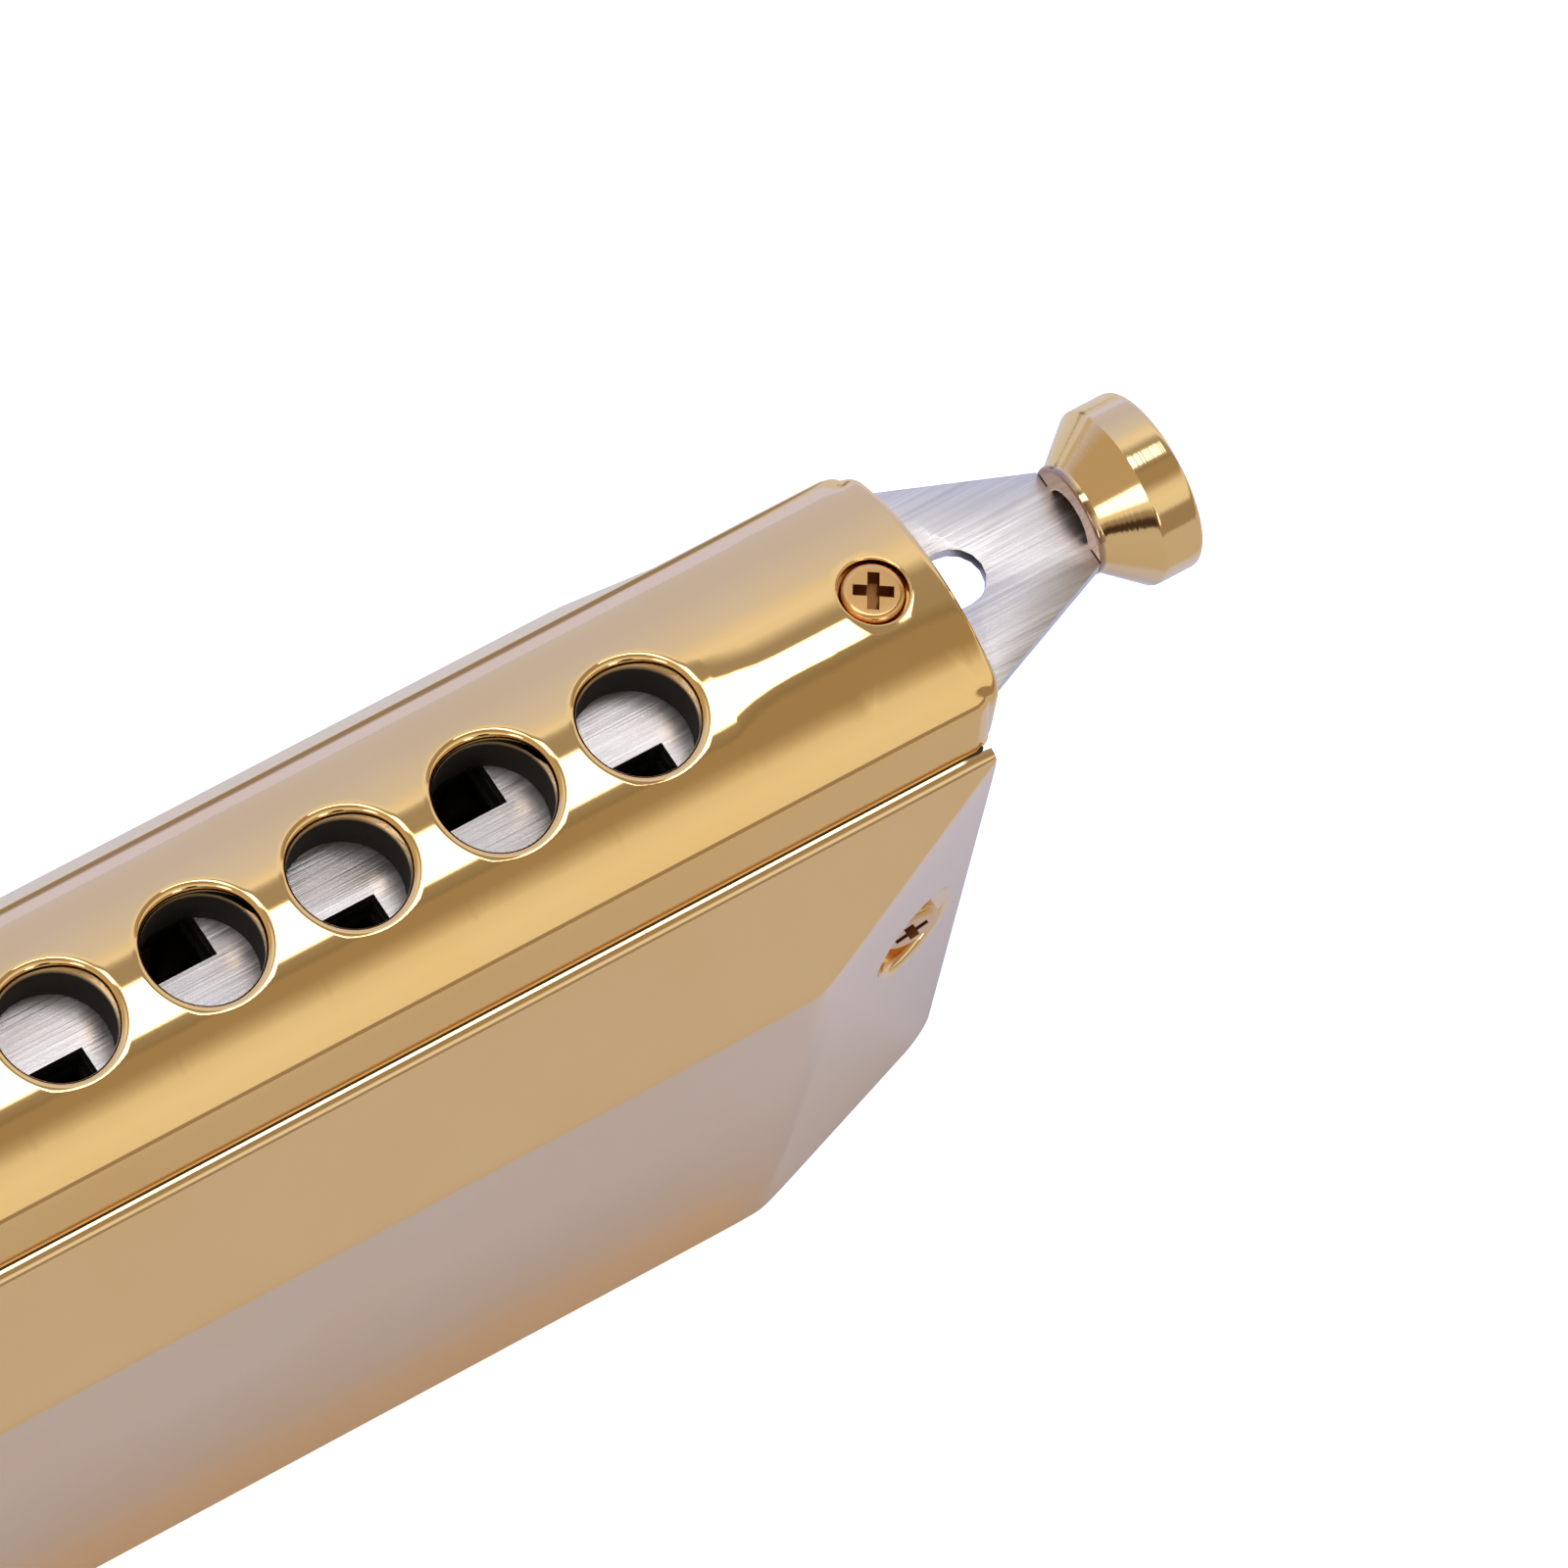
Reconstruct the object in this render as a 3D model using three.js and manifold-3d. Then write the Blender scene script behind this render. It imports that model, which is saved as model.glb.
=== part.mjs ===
// Chromatic harmonica with a spring-loaded slide.
// Millimetres, +Z up. The instrument stands on the rear edges of its two covers, mouthpiece up.
// +X points along the mouthpiece to the slide button, -Y is the lower cover, +Y the upper cover.
// Inside the model x = 0 is the middle of the mouthpiece and z = 0 the rear edge of the covers.

import * as THREE from 'three';
import { mergeVertices } from 'three/addons/utils/BufferGeometryUtils.js';
import Module from 'manifold-3d';

// Notes and holes
const holeCount = 12;
const holePitch = 9.5;
const holeBore = 7.0;
const holeSides = 20;

// Stack from the comb up to the crest of the mouthpiece
const combRearInset = 5.5;
const combDepth = 31.0;
const combHalfThickness = 7.8;
const combEndInset = 1.25;
const gasketThickness = 0.95;
const basePlateThickness = 1.1;
const slideThickness = 0.9;
const slideClearance = 0.05;
const crestWall = 4.35;
const overrun = 1.0;

// Reed plates
const plateThickness = 0.9;

// Mouthpiece
const screwEndInset = 4.05;
const sideStripHeight = 3.8;
const crownEdgeRadius = 1.0;
const mouthpieceCornerRadius = 1.8;
const channelWall = 1.7;
const lipRadius = 0.45;
const easeCentre = -1.3;
const easeReach = 2.8;
const easeDepth = 0.16;
const easeRun = 3.5;
const grazeLift = 0.03;

// Slide and its windows
const slideTravel = 6.0;
const slideSideClearance = 0.06;
const windowWidth = 4.0;
const windowHeight = 3.9;
const windowOffset = -0.4;
const rowGap = 1.14;
const tabTaperStart = 0.5;
const tabNeckWidth = 6.7;
const buttonReach = 9.7;
const tabNeckGap = 0.05;
const tenonWidth = 4.6;
const tenonLength = 3.2;
const forkGap = 0.25;

// Mouthpiece screws and the sleeves on which the slide stops
const screwHeadRadius = 1.87;
const screwHeadHeight = 1.3;
const screwRecessRadius = 2.2;
const screwRecessDepth = 1.45;
const screwShankRadius = 1.0;
const screwLength = 17.0;
const screwClearance = 0.3;
const sleeveRadius = 1.8;
const sleeveClearance = 0.05;

// Button
const buttonNeckRadius = 3.4;
const buttonRimRadius = 5.5;
const buttonNeckLength = 0.4;
const buttonConeLength = 2.6;
const buttonRimLength = 2.6;
const buttonEdge = 0.35;
const buttonCrown = 0.1;
const buttonSides = 40;
const buttonSlotClearance = 0.04;

// Covers
const coverSeam = 0.5;
const coverHalfThickness = 14.05;
const coverSheet = 0.7;
const coverEndInset = 0.65;
const coverRollRadius = 1.1;
const coverRollHeight = 0.05;
const facetAngle = 29 * Math.PI / 180;
const bevelAngle = 18.9 * Math.PI / 180;
const endWallHeight = 0.75;
const rearBandDepth = 8.3;
const rearBandFlare = 0.35;

// Cover screws, square to the comb, in dimples pressed into the end bevels
const coverScrewInset = 4.6;
const coverScrewHeight = 20.5;
const coverHeadRadius = 1.95;
const coverHeadHeight = 0.9;
const coverShankRadius = 0.9;
const coverScrewLength = 6.0;
const dimpleRadius = 2.65;
const dimpleSeat = 0.9;
const turnedGap = 0.3;

// Chambers of the comb
const combFrontWall = 1.5;
const cellWidth = 3.3;
const septum = 0.9;
const commonDepth = 3.6;
const cellRearWall = 2.5;
const cellTaper = 10.0;

// Reeds
const reedWidth = 2.2;
const reedThickness = 0.25;
const reedLift = 0.1;
const reedSlotMargin = 0.12;
const reedFrontInset = 4.7;
const reedEndGap = 0.5;
const padLength = 2.6;
const padWidth = 2.7;

// Screws of the reed plates
const plateScrewRadius = 0.7;
const plateHeadRadius = 1.5;
const plateHeadHeight = 0.55;
const plateScrewLength = 5.0;
const plateScrewInset = 2.1;
const plateScrewPitches = 4;

// Return spring
const wireRadius = 0.35;
const coilRadius = 2.6;
const coilPitch = 1.0;
const coilTurns = 2.5;
const postRadius = 1.6;
const coilDrop = 7.5;
const pocketWall = 0.8;
const pocketToScrew = 1.3;
const pocketWidth = 8.0;
const pocketHalfHeight = 2.9;
const pocketDepth = 11.3;
const springTipInset = 0.4;
const springHoleRadius = 0.65;

// Derived places
const rowHalf = (holeCount - 1) * holePitch / 2;
const combFront = combRearInset + combDepth;
const basePlateBottom = combFront + gasketThickness;
const slideBottom = basePlateBottom + basePlateThickness + slideClearance;
const slideTop = slideBottom + slideThickness;
const channelTop = slideTop + slideClearance;
const crest = channelTop + crestWall;
const faceY = combHalfThickness + plateThickness;
const channelHalf = faceY - channelWall;
const slideHalf = channelHalf - slideSideClearance;
const windowLeft = windowOffset - windowWidth / 2;
const windowRight = windowOffset + windowWidth / 2;
const rowStart = rowGap / 2;
const chamberHalf = septum / 2 + cellWidth;
const pocketX1 = -rowHalf + windowOffset - chamberHalf - pocketWall;
const pocketX0 = pocketX1 - pocketWidth;
const springTipX = pocketX1 - springTipInset;
const coilX = (pocketX0 + pocketX1) / 2;
const coilZ = combFront - coilDrop;
const screwX = -pocketX0 + pocketToScrew + screwShankRadius + screwClearance;
const mouthpieceHalfLength = screwX + screwEndInset;
const combHalfLength = mouthpieceHalfLength - combEndInset;
const coverHalfLength = mouthpieceHalfLength - coverEndInset;
const coverDepth = combFront - coverSeam;
const plateScrewSpan = plateScrewPitches * holePitch;

const wasm = await Module();
wasm.setup();

// Materials
const finish = (color, roughness, metalness) =>
  new THREE.MeshStandardMaterial({ color, roughness, metalness });
const goldPlate = finish(0xd9b36a, 0.14, 1.0);
const goldScrew = finish(0xd49a4a, 0.22, 1.0);
const brushedSteel = finish(0xc9c8cc, 0.34, 1.0);
const reedBrass = finish(0xc9a34e, 0.38, 1.0);
const combPlastic = finish(0x151416, 0.45, 0.0);
const springSteel = finish(0x9a9ba0, 0.3, 1.0);
const siliconeGrey = finish(0x4a4a4d, 0.7, 0.0);
const sleeveRubber = finish(0x1c1c1e, 0.8, 0.0);

// Solids
function toSolid(geometry) {
  const bare = geometry.index ? geometry.toNonIndexed() : geometry.clone();
  bare.deleteAttribute('normal');
  bare.deleteAttribute('uv');
  const merged = mergeVertices(bare, 1e-4);
  return new wasm.Manifold(new wasm.Mesh({
    numProp: 3,
    vertProperties: new Float32Array(merged.attributes.position.array),
    triVerts: new Uint32Array(merged.index.array),
  }));
}

function toGeometry(solid) {
  const result = solid.getMesh();
  const geometry = new THREE.BufferGeometry();
  geometry.setAttribute('position', new THREE.BufferAttribute(result.vertProperties, result.numProp));
  geometry.setIndex(new THREE.BufferAttribute(result.triVerts, 1));
  return geometry;
}

function block(x0, x1, y0, y1, z0, z1) {
  const geometry = new THREE.BoxGeometry(x1 - x0, y1 - y0, z1 - z0);
  geometry.translate((x0 + x1) / 2, (y0 + y1) / 2, (z0 + z1) / 2);
  return toSolid(geometry);
}

// A cylinder that stands on (x, y) and runs from z0 up to z1.
function post(x, y, radius, z0, z1, sides) {
  const geometry = new THREE.CylinderGeometry(radius, radius, z1 - z0, sides);
  geometry.rotateX(Math.PI / 2);
  geometry.translate(x, y, (z0 + z1) / 2);
  return toSolid(geometry);
}

// A profile of [radius, height] points turned about the Z axis.
function turned(profile, sides) {
  const points = profile.map(([radius, height]) => new THREE.Vector2(radius, height));
  const geometry = new THREE.LatheGeometry(points, sides);
  geometry.rotateX(Math.PI / 2);
  return geometry;
}

function extruded(points, length) {
  const shape = new THREE.Shape(points.map(([u, v]) => new THREE.Vector2(u, v)));
  return new THREE.ExtrudeGeometry(shape, { depth: length, bevelEnabled: false, curveSegments: 1 });
}

// An outline of (y, z) points run along X from x0 to x1.
function alongX(points, x0, x1) {
  const geometry = extruded(points, x1 - x0);
  geometry.applyMatrix4(new THREE.Matrix4().set(0, 0, 1, x0, 1, 0, 0, 0, 0, 1, 0, 0, 0, 0, 0, 1));
  return toSolid(geometry);
}

// An outline of (x, y) points run along Z from z0 to z1.
function alongZ(points, z0, z1) {
  const geometry = extruded(points, z1 - z0);
  geometry.translate(0, 0, z0);
  return toSolid(geometry);
}

// An outline of (x, z) points run along Y from y0 to y1.
function alongY(points, y0, y1) {
  const geometry = extruded(points, y1 - y0);
  geometry.applyMatrix4(new THREE.Matrix4().set(1, 0, 0, 0, 0, 0, -1, y1, 0, 1, 0, 0, 0, 0, 0, 1));
  return toSolid(geometry);
}

function joined(solids) {
  return solids.reduce((whole, solid) => whole.add(solid));
}

function cut(solid, tools) {
  return solid.subtract(joined(tools));
}

function arcPoints(cx, cy, radius, from, to, steps) {
  return Array.from({ length: steps + 1 }, (_, i) => {
    const angle = from + (to - from) * i / steps;
    return [cx + radius * Math.cos(angle), cy + radius * Math.sin(angle)];
  });
}

function slot(x0, x1, halfWidth, steps) {
  const right = arcPoints(x1 - halfWidth, 0, halfWidth, -Math.PI / 2, Math.PI / 2, steps);
  const left = arcPoints(x0 + halfWidth, 0, halfWidth, Math.PI / 2, Math.PI * 3 / 2, steps);
  return [...right, ...left];
}

const holeX = (index) => rowHalf - index * holePitch;
const holes = Array.from({ length: holeCount }, (_, index) => index);

// Mirror a solid made for the +Y side to the -Y side.
function onSide(solid, side) {
  return side > 0 ? solid : solid.mirror([0, 1, 0]);
}

// Mouthpiece
const crownRise = crest - combFront - sideStripHeight;
const crownRadius = (faceY * faceY + crownRise * crownRise) / (2 * crownRise);
const crownSteps = 5;
const crownDrop = (y) => crownRadius - Math.sqrt(crownRadius * crownRadius - y * y);
const easeEnd = rowHalf + easeRun;

// The lie of the top: a crown, eased along the row of holes where the lower lip rests.
function topDrop(x, y) {
  const away = Math.hypot(Math.max(Math.abs(x) - easeEnd, 0), y - easeCentre);
  return crownDrop(y) + easeDepth * Math.max(0, 1 - (away / easeReach) ** 2);
}

function mouthpieceSection() {
  const centreY = faceY - crownEdgeRadius;
  const below = Math.sqrt((crownRadius - crownEdgeRadius) ** 2 - centreY * centreY);
  const turn = Math.atan2(below, centreY);
  const half = [[faceY, combFront]];
  half.push(...arcPoints(centreY, crest - crownRadius + below, crownEdgeRadius, 0, turn, 3));
  for (let i = 1; i <= crownSteps; i += 1) {
    const y = crownRadius * Math.cos(turn) * (1 - i / crownSteps);
    half.push([y, crest - crownDrop(y)]);
  }
  const mirrored = half.slice(0, -1).reverse().map(([y, z]) => [-y, z]);
  return [...half, ...mirrored];
}

// A turned tool that is lowered, above the channel, by the lie of the top under each point.
function lowered(profile, x, y, sides) {
  const geometry = turned(profile, sides);
  geometry.translate(x, y, 0);
  const position = geometry.attributes.position;
  for (let i = 0; i < position.count; i += 1) {
    if (position.getZ(i) > channelTop) {
      position.setZ(i, position.getZ(i) - topDrop(position.getX(i), position.getY(i)));
    }
  }
  return toSolid(geometry);
}

// A mouth hole widens in a small round lip.
function mouthHole(x) {
  const bore = holeBore / 2;
  const corner = lipRadius * (1 - Math.SQRT1_2);
  return lowered([
    [0, channelTop - overrun],
    [bore, channelTop - overrun],
    [bore, crest - lipRadius],
    [bore + corner, crest - corner],
    [bore + lipRadius, crest + grazeLift],
    [bore + lipRadius, crest + overrun],
    [0, crest + overrun],
  ], x, 0, holeSides);
}

// The easing along the row of holes, with a round end beyond the last hole on each side.
function rowEase() {
  const steps = [0, 1, 2, 3].map((step) => easeReach * step / 3);
  const floor = steps.map((away) => [away, crest + (away < easeReach ? 0 : grazeLift)]);
  const roof = [[easeReach, crest + overrun], [0, crest + overrun]];
  const round = (x) => lowered([...floor, ...roof], x, easeCentre, holeSides);
  const across = [...floor.slice(1).reverse().map(([away, z]) => [-away, z]), ...floor];
  const section = across.map(([away, z]) => [easeCentre + away, z - topDrop(0, easeCentre + away)]);
  section.push([easeCentre + easeReach, crest + overrun], [easeCentre - easeReach, crest + overrun]);
  return joined([alongX(section, -easeEnd, easeEnd), round(easeEnd), round(-easeEnd)]);
}

function roundedPlan(halfLength, halfWidth, radius, steps) {
  const x = halfLength - radius;
  const y = halfWidth - radius;
  return [
    ...arcPoints(x, y, radius, 0, Math.PI / 2, steps),
    ...arcPoints(-x, y, radius, Math.PI / 2, Math.PI, steps),
    ...arcPoints(-x, -y, radius, Math.PI, Math.PI * 3 / 2, steps),
    ...arcPoints(x, -y, radius, Math.PI * 3 / 2, Math.PI * 2, steps),
  ];
}

const headSeat = crest - screwRecessDepth;

function buildMouthpiece() {
  const bar = alongX(mouthpieceSection(), -mouthpieceHalfLength, mouthpieceHalfLength);
  const plan = roundedPlan(mouthpieceHalfLength, faceY, mouthpieceCornerRadius, 4);
  const rounded = bar.intersect(alongZ(plan, combFront, crest + overrun));
  const length = mouthpieceHalfLength + overrun;
  const channel = block(-length, length, -channelHalf, channelHalf, combFront - overrun, channelTop);
  const tools = [channel, rowEase(), ...holes.map((index) => mouthHole(holeX(index)))];
  for (const x of [screwX, -screwX]) {
    tools.push(post(x, 0, screwRecessRadius, headSeat, crest + overrun, 20));
    tools.push(post(x, 0, screwShankRadius + screwClearance, channelTop - overrun, crest, 12));
  }
  return cut(rounded, tools);
}

// A cross-recessed pan head screw, its axis up +Z and its seat at z = 0.
function crossScrew(headRadius, headHeight, shankRadius, length, sides) {
  const profile = [
    [0, -length],
    [shankRadius * 0.4, -length],
    [shankRadius, -length + shankRadius],
    [shankRadius, 0],
    [headRadius, 0],
    [headRadius, headHeight * 0.55],
    [headRadius * 0.86, headHeight * 0.9],
    [headRadius * 0.55, headHeight],
    [0, headHeight],
  ];
  const arm = headRadius * 0.58;
  const width = headRadius * 0.16;
  const floor = headHeight * 0.25;
  const screw = toSolid(turned(profile, sides));
  return cut(screw, [
    block(-arm, arm, -width, width, floor, headHeight + overrun),
    block(-width, width, -arm, arm, floor, headHeight + overrun),
  ]);
}

// Slide: a thin plate with openings in two staggered rows, so that pressing it changes the row.
// Odd holes, counted from the button, sound through the lower row at rest and even ones
// through the upper row.
function slideOpenings() {
  const openings = [];
  for (let index = -1; index < holeCount; index += 1) {
    const side = index % 2 === 0 ? -1 : 1;
    const reach = index === holeCount - 1 ? 0 : holePitch - slideTravel;
    const x0 = holeX(index) + windowLeft - reach;
    const x1 = index === -1 ? x0 + windowWidth : holeX(index) + windowRight;
    const y0 = side > 0 ? rowStart : -rowStart - windowHeight;
    openings.push(block(x0, x1, y0, y0 + windowHeight, slideBottom - overrun, slideTop + overrun));
  }
  return openings;
}

const buttonFace = mouthpieceHalfLength + buttonReach;
const neckX = buttonFace - tabNeckGap;
const taperX = mouthpieceHalfLength + tabTaperStart;
const slideLeft = -mouthpieceHalfLength + slideTravel;
const sleeveZ0 = combFront + sleeveClearance;
const slotHalf = sleeveRadius + sleeveClearance;

function buildSlide() {
  const tenonEnd = buttonFace + tenonLength;
  const plate = alongZ([
    [slideLeft, -slideHalf],
    [taperX, -slideHalf],
    [neckX, -tabNeckWidth / 2],
    [neckX, -tenonWidth / 2],
    [tenonEnd, -tenonWidth / 2],
    [tenonEnd, tenonWidth / 2],
    [neckX, tenonWidth / 2],
    [neckX, tabNeckWidth / 2],
    [taperX, slideHalf],
    [slideLeft, slideHalf],
  ], slideBottom, slideTop);
  const rightSlot = slot(screwX - slotHalf, screwX + slotHalf + slideTravel, slotHalf, 8);
  const forkEnd = -screwX + slotHalf + slideTravel + forkGap;
  const fork = slot(slideLeft - slotHalf * 2, forkEnd, slotHalf, 8);
  return cut(plate, [
    ...slideOpenings(),
    alongZ(rightSlot, slideBottom - overrun, slideTop + overrun),
    alongZ(fork, slideBottom - overrun, slideTop + overrun),
    post(springTipX, 0, springHoleRadius, slideBottom - overrun, slideTop + overrun, 12),
  ]);
}

// Button: neck ring, cone and rim turned in one piece, slotted to take the slide's tenon.
function buildButton() {
  const coneStart = buttonFace + buttonNeckLength;
  const rimStart = coneStart + buttonConeLength;
  const rimEnd = rimStart + buttonRimLength;
  const profile = [
    [0, buttonFace],
    [buttonNeckRadius, buttonFace],
    [buttonNeckRadius, coneStart],
    [buttonRimRadius, rimStart],
    [buttonRimRadius, rimEnd - buttonEdge],
    [buttonRimRadius - buttonEdge, rimEnd],
    [0, rimEnd + buttonCrown],
  ];
  const geometry = turned(profile, buttonSides);
  geometry.rotateY(Math.PI / 2);
  geometry.translate(0, 0, (slideBottom + slideTop) / 2);
  const gap = buttonSlotClearance;
  const slotEnd = buttonFace + tenonLength + gap;
  const half = tenonWidth / 2 + gap;
  return cut(toSolid(geometry), [
    block(buttonFace - overrun, slotEnd, -half, half, slideBottom - gap, slideTop + gap),
  ]);
}

// Base plate and gasket under the slide share the windows of the comb.
function windowTools(z0, z1) {
  const tools = [];
  for (const index of holes) {
    const x = holeX(index);
    tools.push(block(x + windowLeft, x + windowRight, rowStart, rowStart + windowHeight, z0, z1));
    tools.push(block(x + windowLeft, x + windowRight, -rowStart - windowHeight, -rowStart, z0, z1));
  }
  return tools;
}

function layer(z0, z1, screwHole) {
  const half = channelHalf - slideSideClearance;
  const length = mouthpieceHalfLength - mouthpieceCornerRadius;
  const springSlot = slot(
    springTipX - slideTravel - springHoleRadius,
    springTipX + springHoleRadius,
    springHoleRadius,
    6,
  );
  return cut(block(-length, length, -half, half, z0, z1), [
    ...windowTools(z0 - overrun, z1 + overrun),
    alongZ(springSlot, z0 - overrun, z1 + overrun),
    post(screwX, 0, screwHole, z0 - overrun, z1 + overrun, 16),
    post(-screwX, 0, screwHole, z0 - overrun, z1 + overrun, 16),
  ]);
}

// Sleeve on a mouthpiece screw: spacer between comb and mouthpiece, and stop for the slide.
function buildSleeve(x) {
  const top = channelTop - sleeveClearance;
  return cut(post(x, 0, sleeveRadius, sleeveZ0, top, 18), [
    post(x, 0, screwShankRadius + sleeveClearance, sleeveZ0 - overrun, top + overrun, 12),
  ]);
}

// Comb
const longestCell = combDepth - combFrontWall - cellRearWall;
const cellLength = (index) => longestCell - cellTaper * (1 - index / (holeCount - 1));

function chamberTools(index, side) {
  const centre = holeX(index) + windowOffset;
  const half = chamberHalf;
  const front = combFront - combFrontWall;
  const rear = front - commonDepth;
  const end = front - cellLength(index);
  const outline = [
    [centre - half, front],
    [centre - half, end],
    [centre - septum / 2, end],
    [centre - septum / 2, rear],
    [centre + septum / 2, rear],
    [centre + septum / 2, end],
    [centre + half, end],
    [centre + half, front],
  ];
  return onSide(alongY(outline.reverse(), rowStart, combHalfThickness + overrun), side);
}

function springPocket() {
  const bottom = combFront - pocketDepth;
  const pocket = block(pocketX0, pocketX1, -pocketHalfHeight, combHalfThickness + overrun,
    bottom, combFront - combFrontWall);
  const mouth = block(springTipX - slideTravel - springHoleRadius, springTipX + springHoleRadius,
    -springHoleRadius, springHoleRadius, combFront - combFrontWall - overrun, combFront + overrun);
  return pocket.add(mouth);
}

function springPost() {
  const foot = -pocketHalfHeight - pocketWall / 2;
  const geometry = new THREE.CylinderGeometry(postRadius, postRadius, combHalfThickness - foot, 20);
  geometry.translate(coilX, (combHalfThickness + foot) / 2, coilZ);
  return toSolid(geometry);
}

function buildComb() {
  const body = block(-combHalfLength, combHalfLength, -combHalfThickness, combHalfThickness,
    combRearInset, combFront);
  const tools = [springPocket(), ...windowTools(combFront - combFrontWall - overrun, combFront + overrun)];
  for (const side of [1, -1]) {
    for (const index of holes) {
      tools.push(chamberTools(index, side));
    }
    for (const [x, z] of plateScrewPlaces()) {
      tools.push(plateScrewBore(x, z, side, combHalfThickness - plateScrewLength, faceY));
    }
    for (const end of [1, -1]) {
      tools.push(coverScrewBore(end, side));
    }
  }
  for (const x of [screwX, -screwX]) {
    tools.push(post(x, 0, screwShankRadius + screwClearance, headSeat - screwLength - screwClearance,
      combFront + overrun, 16));
  }
  return cut(body, tools).add(springPost());
}

// Reed plates: twelve blow reeds on the inner face and twelve draw reeds on the outer face.
function plateScrewPlaces() {
  const rear = combRearInset + plateScrewInset;
  const end = rowHalf + holePitch;
  return [
    [windowOffset - plateScrewSpan, rear],
    [windowOffset, rear],
    [windowOffset + plateScrewSpan, rear],
    [end, rear + plateScrewInset],
    [-end, rear + plateScrewInset],
  ];
}

function plateScrewBore(x, z, side, y0, y1) {
  const geometry = new THREE.CylinderGeometry(plateScrewRadius + screwClearance,
    plateScrewRadius + screwClearance, y1 - y0, 10);
  geometry.translate(x, side * (y0 + y1) / 2, z);
  return toSolid(geometry);
}

function reedPlace(index, isDraw) {
  const x = holeX(index) + windowOffset + (isDraw ? 1 : -1) * (septum + cellWidth) / 2;
  const front = combFront - reedFrontInset;
  const cellEnd = combFront - combFrontWall - cellLength(index);
  return { x, front, length: front - cellEnd - padLength - reedEndGap };
}

function reedSlot(index, isDraw) {
  const { x, length, front } = reedPlace(index, isDraw);
  const half = reedWidth / 2 + reedSlotMargin;
  return block(x - half, x + half, combHalfThickness - overrun, faceY + overrun, front - length, front);
}

// The reed lies over its slot, held at one end by its pad.
function reedSolid(index, isDraw) {
  const { x, length, front } = reedPlace(index, isDraw);
  const outward = isDraw ? 1 : -1;
  const face = isDraw ? faceY : combHalfThickness;
  const spread = (a, b) => [Math.min(a, b), Math.max(a, b)];
  const tongueY = spread(face + outward * reedLift, face + outward * (reedLift + reedThickness));
  const padY = spread(face - outward * plateThickness / 4, face + outward * (reedLift + reedThickness));
  const padEnd = isDraw ? front + padLength : front - length - padLength;
  const padSpan = isDraw ? [front, padEnd] : [padEnd, front - length];
  const tip = reedSlotMargin * 2;
  const span = isDraw ? [front - length + tip, padEnd] : [padEnd, front - tip];
  const tongue = block(x - reedWidth / 2, x + reedWidth / 2, ...tongueY, ...span);
  const pad = block(x - padWidth / 2, x + padWidth / 2, ...padY, ...padSpan);
  return tongue.add(pad);
}

function buildReedPlate(side) {
  const plate = block(-combHalfLength, combHalfLength, combHalfThickness, faceY, combRearInset, combFront);
  const tools = [];
  const reeds = [];
  for (const index of holes) {
    for (const isDraw of [true, false]) {
      tools.push(reedSlot(index, isDraw));
      reeds.push(reedSolid(index, isDraw));
    }
  }
  for (const [x, z] of plateScrewPlaces()) {
    tools.push(plateScrewBore(x, z, 1, combHalfThickness - overrun, faceY + overrun));
  }
  for (const end of [1, -1]) {
    tools.push(coverScrewBore(end, 1));
  }
  return onSide(joined([cut(plate, tools), ...reeds]), side);
}

function buildPlateScrew(x, z, side) {
  const profile = [
    [0, -plateScrewLength + plateThickness],
    [plateScrewRadius, -plateScrewLength + plateThickness + plateScrewRadius],
    [plateScrewRadius, 0],
    [plateHeadRadius, 0],
    [plateHeadRadius * 0.8, plateHeadHeight],
    [0, plateHeadHeight],
  ];
  const geometry = turned(profile, 10);
  geometry.rotateX(-Math.PI / 2);
  geometry.translate(x, faceY, z);
  return onSide(toSolid(geometry), side);
}

// Covers: a thin pressed shell with a rolled front lip, a front facet, a flat face, bevelled ends
// and a slightly flared rear band. It is open at the rear.
function coverSection(inset) {
  const flat = coverHalfThickness - inset;
  const roll = coverRollRadius - inset;
  const cz = coverDepth - coverRollRadius;
  const cy = faceY + coverRollHeight;
  const base = faceY - (inset > 0 ? overrun : 0);
  const rear = inset > 0 ? -overrun : 0;
  const slope = rearBandFlare / rearBandDepth;
  const facetTop = cz + (roll - (flat - cy) * Math.cos(facetAngle)) / Math.sin(facetAngle);
  const arc = arcPoints(cz, cy, roll, 0, Math.PI / 2 - facetAngle, 4).map(([z, y]) => [y, z]);
  return [
    [base, rear],
    [base, cz + roll],
    ...arc,
    [flat, facetTop],
    [flat, rearBandDepth],
    [flat + (rearBandDepth - rear) * slope, rear],
  ];
}

function coverPlan(inset) {
  const end = coverHalfLength - inset;
  const wall = faceY + endWallHeight + (coverHalfLength - end) * Math.tan(bevelAngle)
    - inset / Math.cos(bevelAngle);
  const top = coverHalfThickness + rearBandFlare + overrun;
  const run = (top - wall) / Math.tan(bevelAngle);
  const base = faceY - (inset > 0 ? overrun : 0);
  return [
    [-end, base],
    [end, base],
    [end, wall],
    [end - run, top],
    [-end + run, top],
    [-end, wall],
  ];
}

function coverForm(inset) {
  const length = coverHalfLength + overrun;
  const section = alongX(coverSection(inset).reverse(), -length, length);
  return section.intersect(alongZ(coverPlan(inset), -overrun * 2, coverDepth + overrun));
}

// A solid made about +Z is set on the floor of a cover's dimple, square to the comb.
function atCoverScrew(solid, end, side) {
  const x = end * (coverHalfLength - coverScrewInset);
  return onSide(solid.rotate([-90, 0, 0]).translate([x, faceY + dimpleSeat, coverScrewHeight]), side);
}

function coverScrewBore(end, side) {
  const radius = coverShankRadius + screwClearance;
  return atCoverScrew(post(0, 0, radius, -coverScrewLength, overrun, 10), end, side);
}

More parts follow.
